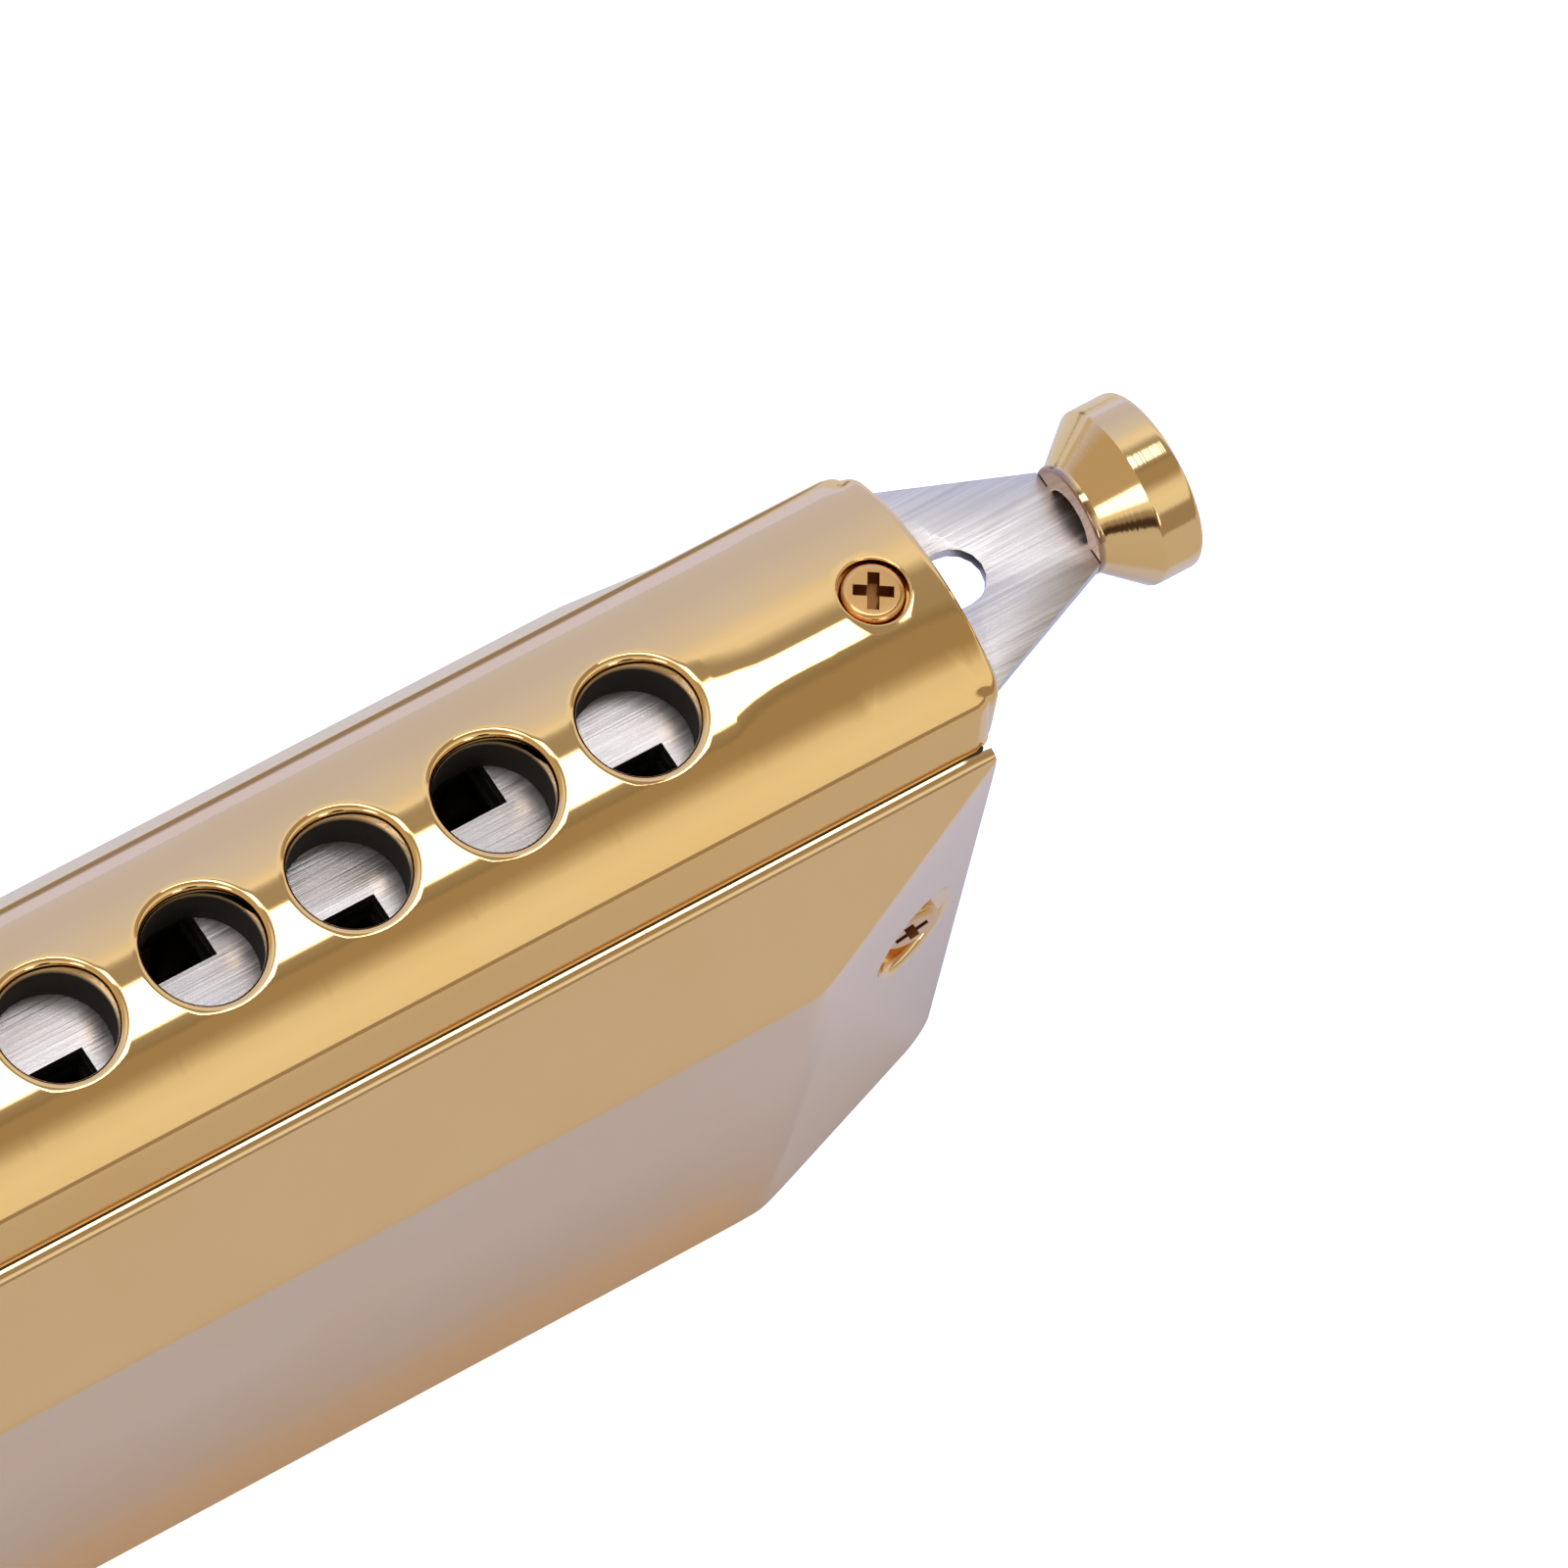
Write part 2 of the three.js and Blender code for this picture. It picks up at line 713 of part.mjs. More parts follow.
function buildCover(side) {
  const outer = coverForm(0);
  const tools = [];
  const cups = [];
  for (const end of [1, -1]) {
    const cup = post(0, 0, dimpleRadius + coverSheet, -coverSheet, coverHalfThickness, 16);
    cups.push(atCoverScrew(cup, end, 1).intersect(outer));
    tools.push(atCoverScrew(post(0, 0, dimpleRadius, 0, coverHalfThickness, 16), end, 1));
    tools.push(coverScrewBore(end, 1));
  }
  const sheet = outer.subtract(coverForm(coverSheet));
  return onSide(cut(joined([sheet, ...cups]), tools), side);
}

function buildCoverScrew(end, side) {
  const screw = crossScrew(coverHeadRadius, coverHeadHeight, coverShankRadius, coverScrewLength, 14);
  return atCoverScrew(screw.translate([0, 0, turnedGap]), end, side);
}

// Return spring: a coil of wire round a post in the comb, one leg on the pocket's wall and the
// other up through the base plate into a hole of the slide.
class SpringPath extends THREE.Curve {
  constructor(points) {
    super();
    this.path = new THREE.CatmullRomCurve3(points, false, 'centripetal');
  }

  getPoint(t, target = new THREE.Vector3()) {
    return this.path.getPoint(t, target);
  }
}

function buildSpring() {
  const points = [];
  const steps = 8;
  const turns = coilTurns * steps;
  const wall = pocketX0 + wireRadius * 2;
  const legTop = combFront - combFrontWall - wireRadius * 2;
  points.push(new THREE.Vector3(wall, -coilPitch * coilTurns / 2, legTop));
  for (let i = 0; i <= turns; i += 1) {
    const angle = Math.PI + i / steps * Math.PI * 2;
    points.push(new THREE.Vector3(
      coilX + coilRadius * Math.cos(angle),
      coilPitch * (i / steps - coilTurns / 2),
      coilZ + coilRadius * Math.sin(angle),
    ));
  }
  points.push(new THREE.Vector3(springTipX, 0, legTop));
  points.push(new THREE.Vector3(springTipX, 0, basePlateBottom));
  points.push(new THREE.Vector3(springTipX, 0, slideTop - slideClearance));
  const section = new THREE.Shape(arcPoints(0, 0, wireRadius, 0, Math.PI * 2, 6).slice(0, -1)
    .map(([u, v]) => new THREE.Vector2(u, v)));
  return toSolid(new THREE.ExtrudeGeometry(section, {
    steps: turns + steps,
    extrudePath: new SpringPath(points),
    bevelEnabled: false,
  }));
}

// Assembly
const harmonica = new THREE.Group();
const pieces = [];

function add(name, solid, material) {
  const mesh = new THREE.Mesh(toGeometry(solid), material);
  mesh.name = name;
  pieces.push(mesh);
  harmonica.add(mesh);
}

add('comb', buildComb(), combPlastic);
add('mouthpiece', buildMouthpiece(), goldPlate);
add('slide', buildSlide(), brushedSteel);
add('slide_button', buildButton(), goldPlate);
add('slide_base_plate', layer(basePlateBottom, basePlateBottom + basePlateThickness,
  sleeveRadius + sleeveClearance), brushedSteel);
add('slide_gasket', layer(combFront, basePlateBottom, sleeveRadius + sleeveClearance), siliconeGrey);

const sides = { upper: 1, lower: -1 };
const ends = { right: 1, left: -1 };
for (const [sideName, side] of Object.entries(sides)) {
  add(`${sideName}_reed_plate`, buildReedPlate(side), reedBrass);
  add(`${sideName}_cover`, buildCover(side), goldPlate);
  plateScrewPlaces().forEach(([x, z], index) => {
    add(`${sideName}_plate_screw_${index + 1}`, buildPlateScrew(x, z, side), reedBrass);
  });
  for (const [endName, end] of Object.entries(ends)) {
    add(`${sideName}_cover_screw_${endName}`, buildCoverScrew(end, side), goldScrew);
  }
}
for (const [endName, end] of Object.entries(ends)) {
  const screw = crossScrew(screwHeadRadius, screwHeadHeight, screwShankRadius, screwLength, 14);
  add(`mouthpiece_screw_${endName}`, screw.translate([end * screwX, 0, headSeat]), goldScrew);
  add(`bumper_sleeve_${endName}`, buildSleeve(end * screwX), sleeveRubber);
}
add('slide_spring', buildSpring(), springSteel);

// The origin is under the middle of the whole length, button included.
const buttonEnd = buttonFace + buttonNeckLength + buttonConeLength + buttonRimLength + buttonCrown;
harmonica.position.x = -(buttonEnd - mouthpieceHalfLength) / 2;

export default harmonica;
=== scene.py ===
# %% [markdown]
# # A chromatic harmonica with a gold plated mouthpiece
#
# The imported solids of the harmonica come in as a fixed frame. Every finer surface made here is
# laid over one of them and keeps the same place; all but the return spring ride on a body.

# %% Load the frame
import math

import bmesh
import bpy
from mathutils import Matrix, Vector


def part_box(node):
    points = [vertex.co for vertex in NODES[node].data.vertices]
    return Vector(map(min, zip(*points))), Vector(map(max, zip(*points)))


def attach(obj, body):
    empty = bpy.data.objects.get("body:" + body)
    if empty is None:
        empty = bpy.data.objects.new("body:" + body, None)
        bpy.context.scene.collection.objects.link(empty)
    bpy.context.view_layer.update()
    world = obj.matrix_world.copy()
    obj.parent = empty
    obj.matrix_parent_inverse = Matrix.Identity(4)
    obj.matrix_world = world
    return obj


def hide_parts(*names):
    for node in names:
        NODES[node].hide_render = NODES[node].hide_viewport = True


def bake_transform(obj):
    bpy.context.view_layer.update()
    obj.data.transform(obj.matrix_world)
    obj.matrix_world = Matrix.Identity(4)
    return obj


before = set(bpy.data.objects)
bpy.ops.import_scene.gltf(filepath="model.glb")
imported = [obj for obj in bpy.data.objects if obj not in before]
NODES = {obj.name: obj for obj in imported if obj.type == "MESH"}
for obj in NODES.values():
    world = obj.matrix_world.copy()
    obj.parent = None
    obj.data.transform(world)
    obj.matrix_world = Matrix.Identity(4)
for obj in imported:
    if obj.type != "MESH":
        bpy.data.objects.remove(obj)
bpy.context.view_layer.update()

# %% [markdown]
# ## Sizes
#
# The instrument is drawn in millimetres from the middle of its mouthpiece. The frame is in metres
# and has its origin under the middle of the whole length, so one function shifts and scales.

# %% Sizes of the instrument
MM = 0.001
HOLES = 12
PITCH = 9.5
ROW_HALF = (HOLES - 1) * PITCH / 2
HALF_LENGTH = 71.85
HALF_WIDTH = 8.7
BASE = 36.5
CHANNEL_TOP = 39.55
CHANNEL_HALF = 7.0
CREST = 43.9
BORE = 3.5
LIP = 0.55
SCREW_X = 67.8
RECESS = 2.06
RECESS_EDGE = 0.14
RECESS_FLOOR = 42.45
BUTTON_FACE = HALF_LENGTH + 9.7
SHANK_BORE = 1.3

mouthpiece_low, mouthpiece_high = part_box("mouthpiece")
SHIFT = (mouthpiece_low[0] + mouthpiece_high[0]) / 2 / MM


def to_frame(point):
    return ((point[0] + SHIFT) * MM, point[1] * MM, point[2] * MM)


print("shift along X in mm", round(SHIFT, 3))

# %% [markdown]
# ## Camera
#
# A long lens looks down on the mouthpiece from the button's end. Its place was found by fitting
# the circles of the mouth holes and the straight edges of the body to the photograph.

# %% Camera
def linked(name, data):
    """A new object in the scene."""
    made = bpy.data.objects.new(name, data)
    bpy.context.scene.collection.objects.link(made)
    return made


CAMERA_TURN = math.radians(-44.7935)
CAMERA_HEIGHT = math.radians(63.0015)
CAMERA_ROLL = math.radians(13.6872)
CAMERA_PLACE = (-0.237103, -0.296086, 0.841423)
CAMERA_LENS = 370.15


def camera_axes(turn, height, roll):
    flat = math.cos(height)
    back = Vector((math.sin(turn) * flat, -math.cos(turn) * flat, math.sin(height)))
    level = Vector((math.cos(turn), math.sin(turn), 0))
    upright = back.cross(level)
    side = level * math.cos(roll) + upright * math.sin(roll)
    return Matrix((side, back.cross(side), back)).transposed()


camera = linked("camera", bpy.data.cameras.new("camera"))
axes = camera_axes(CAMERA_TURN, CAMERA_HEIGHT, CAMERA_ROLL).to_4x4()
camera.matrix_world = Matrix.Translation(CAMERA_PLACE) @ axes
camera.data.sensor_width = 36
camera.data.lens = CAMERA_LENS
camera.data.clip_start = 0.05
camera.data.clip_end = 20
bpy.context.scene.camera = camera
bpy.context.scene.view_settings.view_transform = "Standard"
print("camera lens", CAMERA_LENS)

# %% [markdown]
# ## Arithmetic on shader sockets
#
# A shader is easier to read as a sum than as a row of nodes. The class below wraps one socket:
# sums and products of wrapped sockets add their Math nodes by themselves, and any other node comes
# from its node method. Colours are written as red, green and blue, and are always opaque.


# %% Sockets that can be added and multiplied
class Signal:
    def __init__(self, tree, socket=None):
        self.tree = tree
        self.socket = socket

    def node(self, kind, inputs=None, output=0, **settings):
        made = self.tree.nodes.new(kind)
        for name, value in settings.items():
            setattr(made, name, value)
        for key, value in (inputs or {}).items():
            entry = made.inputs[key]
            if isinstance(value, Signal):
                self.tree.links.new(value.socket, entry)
            else:
                entry.default_value = (*value, 1.0) if entry.type == "RGBA" else value
        return Signal(self.tree, made.outputs[output] if len(made.outputs) else None)

    def output(self, name):
        """Another output of the node that made this signal."""
        return Signal(self.tree, self.socket.node.outputs[name])

    def math(self, operation, other=0.0, clamp=False):
        return self.node("ShaderNodeMath", {0: self, 1: other}, operation=operation, use_clamp=clamp)

    def __add__(self, other):
        return self.math("ADD", other)

    def __sub__(self, other):
        return self.math("SUBTRACT", other)

    def __mul__(self, other):
        return self.math("MULTIPLY", other)

    __radd__ = __add__
    __rmul__ = __mul__

    def __rsub__(self, other):
        return self * -1.0 + other

    def spread(self, low, high):
        """From 0 at low to 1 at high, straight between."""
        return (self - low).math("MULTIPLY", 1.0 / (high - low), clamp=True)

    def fade(self, low, high):
        """A spread between two places in millimetres."""
        return self.spread(low * MM, high * MM)

    def within(self, inside, outside):
        """1 up to a distance from zero in millimetres, fading out to another distance."""
        return self.math("ABSOLUTE").fade(outside, inside)

    def mix(self, first, second):
        """The first colour where this signal is 0, the second where it is 1."""
        return self.node("ShaderNodeMix", {0: self, 6: first, 7: second}, output=2, data_type="RGBA")

    def ramp(self, stops):
        """Colours that follow this signal from 0 to 1."""
        made = self.node("ShaderNodeValToRGB", {"Fac": self})
        elements = made.socket.node.color_ramp.elements
        elements.remove(elements[-1])
        for index, (place, color) in enumerate(stops):
            element = elements.new(place) if index else elements[0]
            element.position = place
            element.color = (*color, 1.0)
        return made

    def split(self):
        parts = self.node("ShaderNodeSeparateXYZ", {0: self})
        return [parts.output(name) for name in ("X", "Y", "Z")]


# %% [markdown]
# A finish starts from the Principled shader. What is the same all over is set on the shader's own
# sockets, and only colour, roughness and bump vary over the surface. Every pattern lies on the
# piece's own coordinates, so it moves with the piece.


# %% Starting a finish
EVEN = (1.0, 1.0, 1.0)


class Finish(Signal):
    def __init__(self, name, color, roughness, metallic=1.0):
        self.material = bpy.data.materials.new(name)
        self.material.use_nodes = True
        self.material.diffuse_color = (*color, 1.0)
        super().__init__(self.material.node_tree)
        self.shader = self.tree.nodes["Principled BSDF"]
        constants = {"Base Color": (*color, 1.0), "Roughness": roughness, "Metallic": metallic}
        for socket, value in constants.items():
            self.shader.inputs[socket].default_value = value

    def feed(self, socket, value):
        self.tree.links.new(value.socket, self.shader.inputs[socket])

    def wear(self, tone, dull):
        self.feed("Base Color", tone)
        self.feed("Roughness", dull)

    def paint_shade(self, mask, tone, dark, dull):
        """Where the mask is 1 the colour is a painted shade: dark, dull and not metal."""
        self.wear(mask.mix(tone, dark), dull)
        self.feed("Metallic", 1.0 - mask)

    def place(self):
        """Where a point is on its piece, along X, Y and Z. X counts from the mouthpiece's middle."""
        x, y, z = self.node("ShaderNodeTexCoord", output="Object").split()
        return x - SHIFT * MM, y, z

    def grain(self, stretch, density, detail, roughness=0.55):
        """Noise from 0 to 1, with its own scale in each direction."""
        place = self.node("ShaderNodeTexCoord", output="Object")
        stretched = self.node("ShaderNodeMapping", {"Vector": place, "Scale": stretch})
        sizes = {"Vector": stretched, "Scale": density, "Detail": detail, "Roughness": roughness}
        return self.node("ShaderNodeTexNoise", sizes)

    def bump(self, height, strength, depth):
        """Relief from a height, with its depth in millimetres."""
        sizes = {"Height": height, "Strength": strength, "Distance": depth * MM}
        self.feed("Normal", self.node("ShaderNodeBump", sizes))


# %% [markdown]
# ## Gold plate
#
# The mouthpiece, the covers and the button are plated brass. Polished plate is never quite even:
# buffing leaves fine lines along the piece, and handling dulls it in soft patches. Both act on
# roughness, and hardly on colour.


# %% Gold finishes
LINE_DEPTH = 0.02
WARMER = (1.0, 0.97, 0.9)


def gold_finish(name, color, roughness, line_scale, line_strength):
    """Plate with buffing lines; gives back the finish and its tone."""
    finish = Finish(name, color, roughness)
    patches = finish.grain(EVEN, 90.0, detail=4.0)
    lines = finish.grain(line_scale, 900.0, detail=2.0)
    warm = tuple(channel * factor for channel, factor in zip(color, WARMER))
    tone = patches.spread(0.35, 0.7).mix(color, warm)
    finish.wear(tone, roughness * 0.7 + patches * (roughness * 0.4) + lines * (roughness * 0.2))
    finish.bump(lines, line_strength, LINE_DEPTH)
    return finish, tone


COVER_GOLD = gold_finish("cover_gold", (0.90, 0.65, 0.38), 0.1, (0.05, 1.0, 1.0), 0.06)[0].material
SCREW_GOLD = gold_finish("screw_gold", (0.80, 0.49, 0.22), 0.22, EVEN, 0.12)[0].material
# The cross recesses of the gold screws are a dark brown gold: a painted shade.
RECESS_SHADE_GOLD = gold_finish("recess_gold", (0.34, 0.16, 0.06), 0.4, EVEN, 0.2)[0].material


# %% Gold of the mouthpiece
# The lower part of each bore is painted dark: a painted shade for the deep holes.
BORE_PAINTED_SHADE = (0.012, 0.008, 0.006)
BORE_SHADE_HEIGHTS = (42.7, 42.2)
BORE_WIDTH = (3.62, 3.72)
ROW_LENGTH = (58.0, 59.0)
CROWN_GLOSS = 0.045


def mouthpiece_finish():
    """A little below their rim the bores are painted dark and dull: a painted shade."""
    color, lines = (0.90, 0.62, 0.30), (0.04, 1.0, 1.0)
    finish, tone = gold_finish("mouthpiece_gold", color, CROWN_GLOSS, lines, 0.05)
    x, y, z = finish.place()
    # Painted shade: dark, dull and not metal in the lower part of each bore.
    dark = z.fade(*BORE_SHADE_HEIGHTS) * y.within(*BORE_WIDTH) * x.within(*ROW_LENGTH)
    finish.paint_shade(dark, tone, BORE_PAINTED_SHADE, CROWN_GLOSS + dark * 0.75)
    return finish.material


MOUTHPIECE_GOLD = mouthpiece_finish()


# %% Turned gold
# The face and ring at the neck, where the slide goes in, are painted a dull brown: a painted shade.
NECK_PAINTED_SHADE = (0.46, 0.31, 0.22)
NECK_SHADE_FADE = (BUTTON_FACE + 0.42, BUTTON_FACE + 0.2)


def turned_gold():
    """The button keeps the fine rings of the lathe, so its lines run round the X axis."""
    finish, tone = gold_finish("turned_gold", (0.90, 0.64, 0.33), 0.1, (1.0, 0.0, 0.0), 0.05)
    finish.bump(finish.grain((1.0, 0.0, 0.0), 4200.0, detail=2.0), 0.6, LINE_DEPTH)
    x, y, z = finish.place()
    # Painted shade at the neck end of the button.
    finish.feed("Base Color", x.fade(*NECK_SHADE_FADE).mix(tone, NECK_PAINTED_SHADE))
    return finish.material


BUTTON_GOLD = turned_gold()
print("gold finishes", MOUTHPIECE_GOLD.name, COVER_GOLD.name, BUTTON_GOLD.name, SCREW_GOLD.name)


# %% [markdown]
# ## Steel, brass, plastic and rubber
#
# The slide is ground along its length, so its lines run along X and are long and straight. The
# reed plates are rolled brass, the comb is moulded plastic with a fine grain.

# %% Slide steel
def brushed_steel(name, color, roughness, contrast, strength):
    """Two noises drawn out along X: hair lines, and broader streaks between them."""
    finish = Finish(name, color, roughness)
    fine = finish.grain((0.012, 1.0, 1.0), 5200.0, detail=3.0, roughness=0.7)
    coarse = finish.grain((0.02, 1.0, 1.0), 1100.0, detail=4.0, roughness=0.7)
    shade = (fine * 0.76 + coarse * 0.24).spread(0.36, 0.62)
    dark = tuple(channel * (1.0 - contrast) for channel in color)
    finish.wear(shade.mix(dark, color), roughness * 0.85 + shade * (roughness * 0.3))
    finish.bump(shade, strength, 0.03)
    return finish.material


SLIDE_STEEL = brushed_steel("slide_steel", (0.78, 0.745, 0.77), 0.34, 0.26, 0.3)
PLATE_STEEL = brushed_steel("base_plate_steel", (0.30, 0.28, 0.28), 0.45, 0.3, 0.25)
SPRING_WIRE = brushed_steel("spring_wire", (0.5, 0.5, 0.52), 0.3, 0.2, 0.2)


# %% Reed brass
# A painted shade along the front edge of the reed plates, in the seam.
SEAM_PAINTED_SHADE = (0.03, 0.018, 0.012)
SEAM_SHADE_HEIGHTS = (35.6, 35.9)


def rolled_brass():
    """Brass of the reed plates. Along their front edge, in the seam, it is painted dark: a painted
    shade.
    """
    finish = Finish("reed_brass", (0.70, 0.52, 0.24), 0.36)
    stain = finish.grain((0.2, 1.0, 1.0), 700.0, detail=4.0)
    tone = stain.spread(0.3, 0.75).mix((0.58, 0.41, 0.18), (0.72, 0.54, 0.26))
    x, y, z = finish.place()
    # The seam is painted dark: a painted shade.
    seam = z.fade(*SEAM_SHADE_HEIGHTS)
    finish.paint_shade(seam, tone, SEAM_PAINTED_SHADE, 0.3 + stain * 0.15 + seam * 0.3)
    return finish.material


REED_BRASS = rolled_brass()


# %% Plastic and rubber
def moulded(name, color, roughness, density, strength):
    """A dull skin with fine specks that are a little lighter than the rest."""
    finish = Finish(name, color, roughness, metallic=0.0)
    specks = finish.grain(EVEN, density, detail=5.0)
    light = tuple(channel * 1.5 + 0.004 for channel in color)
    tone = specks.spread(0.45, 0.8).mix(color, light)
    finish.wear(tone, roughness * 0.8 + specks * (roughness * 0.4))
    finish.bump(specks, strength, 0.05)
    return finish.material


COMB_PLASTIC = moulded("comb_plastic", (0.018, 0.017, 0.018), 0.42, 2600.0, 0.3)
GASKET_SILICONE = moulded("gasket_silicone", (0.075, 0.075, 0.08), 0.6, 1800.0, 0.2)
SLEEVE_RUBBER = moulded("sleeve_rubber", (0.02, 0.02, 0.02), 0.75, 2400.0, 0.3)
print("other finishes", SLIDE_STEEL.name, REED_BRASS.name, COMB_PLASTIC.name)


# %% [markdown]
# ## Turning lists of points into pieces
#
# Each fine piece is a list of points and faces. Patches are made side by side with the same points
# on their shared edges, so merging by distance closes the skin. Shading is smooth, and edges
# sharper than a set angle stay crisp.

# %% Mesh helper
def shade(mesh, crease):
    mesh.shade_smooth()
    mesh.set_sharp_from_angle(angle=math.radians(crease))
    return mesh


def settle(mesh, work, crease):
    """Writes an edited form back to its mesh, and prints how many edges are open."""
    open_edges = sum(1 for edge in work.edges if len(edge.link_faces) != 2)
    work.to_mesh(mesh)
    work.free()
    print(mesh.name, "faces", len(mesh.polygons), "open edges", open_edges)
    return shade(mesh, crease)


class Skin:
    def __init__(self):
        self.points = []
        self.faces = []

    def add(self, rows, closed=False):
        """Joins rows of points, all of one length, with quads from each row to the next."""
        first = len(self.points)
        width = len(rows[0])
        for row in rows:
            self.points += row
        for r in range(len(rows) - 1):
            for c in range(width if closed else width - 1):
                a = first + r * width + c
                b = first + r * width + (c + 1) % width
                self.faces.append((a, b, b + width, a + width))

    def cap(self, ring):
        """Fans a closed ring of points from its middle."""
        first = len(self.points)
        self.points += [*ring, tuple(sum(values) / len(ring) for values in zip(*ring))]
        for i in range(len(ring)):
            self.faces.append((first + i, first + (i + 1) % len(ring), first + len(ring)))

    def mesh(self, name, crease=35.0):
        mesh = bpy.data.meshes.new(name)
        mesh.from_pydata([to_frame(point) for point in self.points], [], self.faces)
        work = bmesh.new()
        work.from_mesh(mesh)
        bmesh.ops.remove_doubles(work, verts=work.verts, dist=0.0000015)
        bmesh.ops.dissolve_degenerate(work, edges=work.edges, dist=0.0000005)
        bmesh.ops.recalc_face_normals(work, faces=work.faces)
        return settle(mesh, work, crease)


def paint(mesh, material):
    mesh.materials.clear()
    mesh.materials.append(material)


def dress(mesh, material, body, slot, *nodes):
    """Makes a piece of a mesh, and lets it ride on a body in place of the nodes that it covers."""
    piece = linked(mesh.name, mesh)
    if material:
        paint(mesh, material)
    if body:
        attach(piece, body)
    if nodes:
        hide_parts(*nodes)
    return piece


# %% Lines of points
def spaced(first, last, count):
    """Even steps from the first value, without the last."""
    return [first + (last - first) * i / count for i in range(count)]


def straight(first, last, count):
    """Points in even steps from just after the first point to the last."""
    return [tuple(a + (b - a) * i / count for a, b in zip(first, last)) for i in range(1, count + 1)]


def bend(first, corner, last, count):
    """Points along a curve that rounds a corner."""
    shares = [i / count for i in range(count + 1)]
    return [tuple((1 - t) ** 2 * a + 2 * t * (1 - t) * b + t * t * c
                  for a, b, c in zip(first, corner, last)) for t in shares]


def arc(start, radius, first, last, count):
    """Points from a start along an arc whose normal turns from one tilt to another."""
    middle = (start[0] - radius * math.sin(first), start[1] - radius * math.cos(first))
    tilts = spaced(first, last, count) + [last]
    return [(middle[0] + radius * math.sin(t), middle[1] + radius * math.cos(t)) for t in tilts]


def both_ways(half):
    """The places of a half, mirrored to the other side of zero."""
    return [-x for x in reversed(half[1:])] + half


def quarter(count):
    """For rounding an edge over: how far back and how far down, as shares of the radius."""
    angles = [math.pi / 2 * i / count for i in range(count + 1)]
    return [(1 - math.sin(angle), 1 - math.cos(angle)) for angle in angles]


def rounded(place, corner, radius):
    """Draws a place near a square corner in to the round corner, on either side of the middle."""
    near = [(abs(p) - c + radius) / radius for p, c in zip(place, corner)]
    if min(near) <= 0:
        return place
    share = max(near) / math.hypot(*near)
    return tuple(math.copysign(c - radius + n * share * radius, p)
                 for p, c, n in zip(place, corner, near))


# %% [markdown]
# ## Mouthpiece
#
# The mouthpiece is one bar with a crowned top. Along the row of holes the crown is eased by a
# shallow hollow for the lower lip, and each hole rolls over a small round edge into its bore. A
# boolean cut would leave ragged shading where the hollow fades out, so the top is laid out in
# cells instead: one cell for each hole, with rings of points from the cell's rectangle in to the
# round edge. Every point takes its height from one function.

# %% Shape of the top
CROWN_FOOT = 40.3
CROWN_RISE = CREST - CROWN_FOOT
CROWN_RADIUS = (HALF_WIDTH ** 2 + CROWN_RISE ** 2) / (2 * CROWN_RISE)
EDGE_RADIUS = 1.0
CORNER_RADIUS = 1.8
END_ROUND = 0.45
END_FALL = 0.28
END_FALL_FROM = 64.8
SIDE_LEAN = math.radians(7.0)
EASE_MIDDLE = -1.3
EASE_REACH = 2.8
EASE_DEPTH = 0.16
EASE_END = ROW_HALF + 3.5
EASE_BLEND = 0.2
hole_places = [ROW_HALF - i * PITCH for i in range(HOLES)]


def crown(y):
    return CREST - CROWN_RADIUS + math.sqrt(CROWN_RADIUS ** 2 - y * y)


def ease(x, y):
    """The hollow along the row of holes, with a rounded edge where it meets the crown."""
    away = math.hypot(max(abs(x) - EASE_END, 0.0), y - EASE_MIDDLE) / EASE_REACH
    share = 1 - away * away
    if share < -EASE_BLEND:
        return 0.0
    if share < EASE_BLEND:
        share = (share + EASE_BLEND) ** 2 / (4 * EASE_BLEND)
    return EASE_DEPTH * share


def on_top(x, y):
    return (x, y, crown(y) - ease(x, y))


print("crown radius in mm", round(CROWN_RADIUS, 2))


# %% Cells round a hole
CELL_X = 12
CELL_Y = 48
RING_CROWDING = 0.8


def rectangle(x0, x1, y0, y1, count=CELL_X):
    """The points of a cell's edge, counterclockwise from its lower right corner."""
    right = [(x1, y) for y in spaced(y0, y1, CELL_Y)]
    back = [(x, y1) for x in spaced(x1, x0, count)]
    left = [(x0, y) for y in spaced(y1, y0, CELL_Y)]
    front = [(x, y0) for x in spaced(x0, x1, count)]
    return right + back + left + front


def around(edge, centre, radius):
    """Where the rays from a centre to the edge's points cross a circle."""
    result = []
    for u, v in edge:
        share = radius / math.hypot(u - centre[0], v - centre[1])
        result.append((centre[0] + (u - centre[0]) * share, centre[1] + (v - centre[1]) * share))
    return result


def cell(skin, edge, centre, radius, place, rings):
    """Rings of points from a cell's edge in to a circle, each put in its place by a function."""
    circle = around(edge, centre, radius)
    rows = []
    for k in range(rings + 1):
        share = (k / rings) ** RING_CROWDING
        rows.append([place(u + (cu - u) * share, v + (cv - v) * share)
                     for (u, v), (cu, cv) in zip(edge, circle)])
    skin.add(rows, closed=True)


# %% Bores under the cells
def bore(skin, edge, centre, radius, round_over, floor):
    """A rounded rim that follows the top, then a straight wall down to the floor."""
    rim = around(edge, centre, radius + round_over)
    rows = []
    for back, down in quarter(6):
        circle = around(edge, centre, radius + round_over * back)
        rows.append([(x, y, on_top(*outer)[2] - round_over * down)
                     for (x, y), outer in zip(circle, rim)])
    last = rows[-1]
    rows += [[(x, y, z + (floor - z) * k / 3) for x, y, z in last] for k in (1, 2, 3)]
    skin.add(rows, closed=True)
    return rows[-1]


def flat_ring(skin, outer, inner, height):
    rows = [[(*point[:2], height) for point in ring] for ring in (outer, inner)]
    skin.add(rows, closed=True)


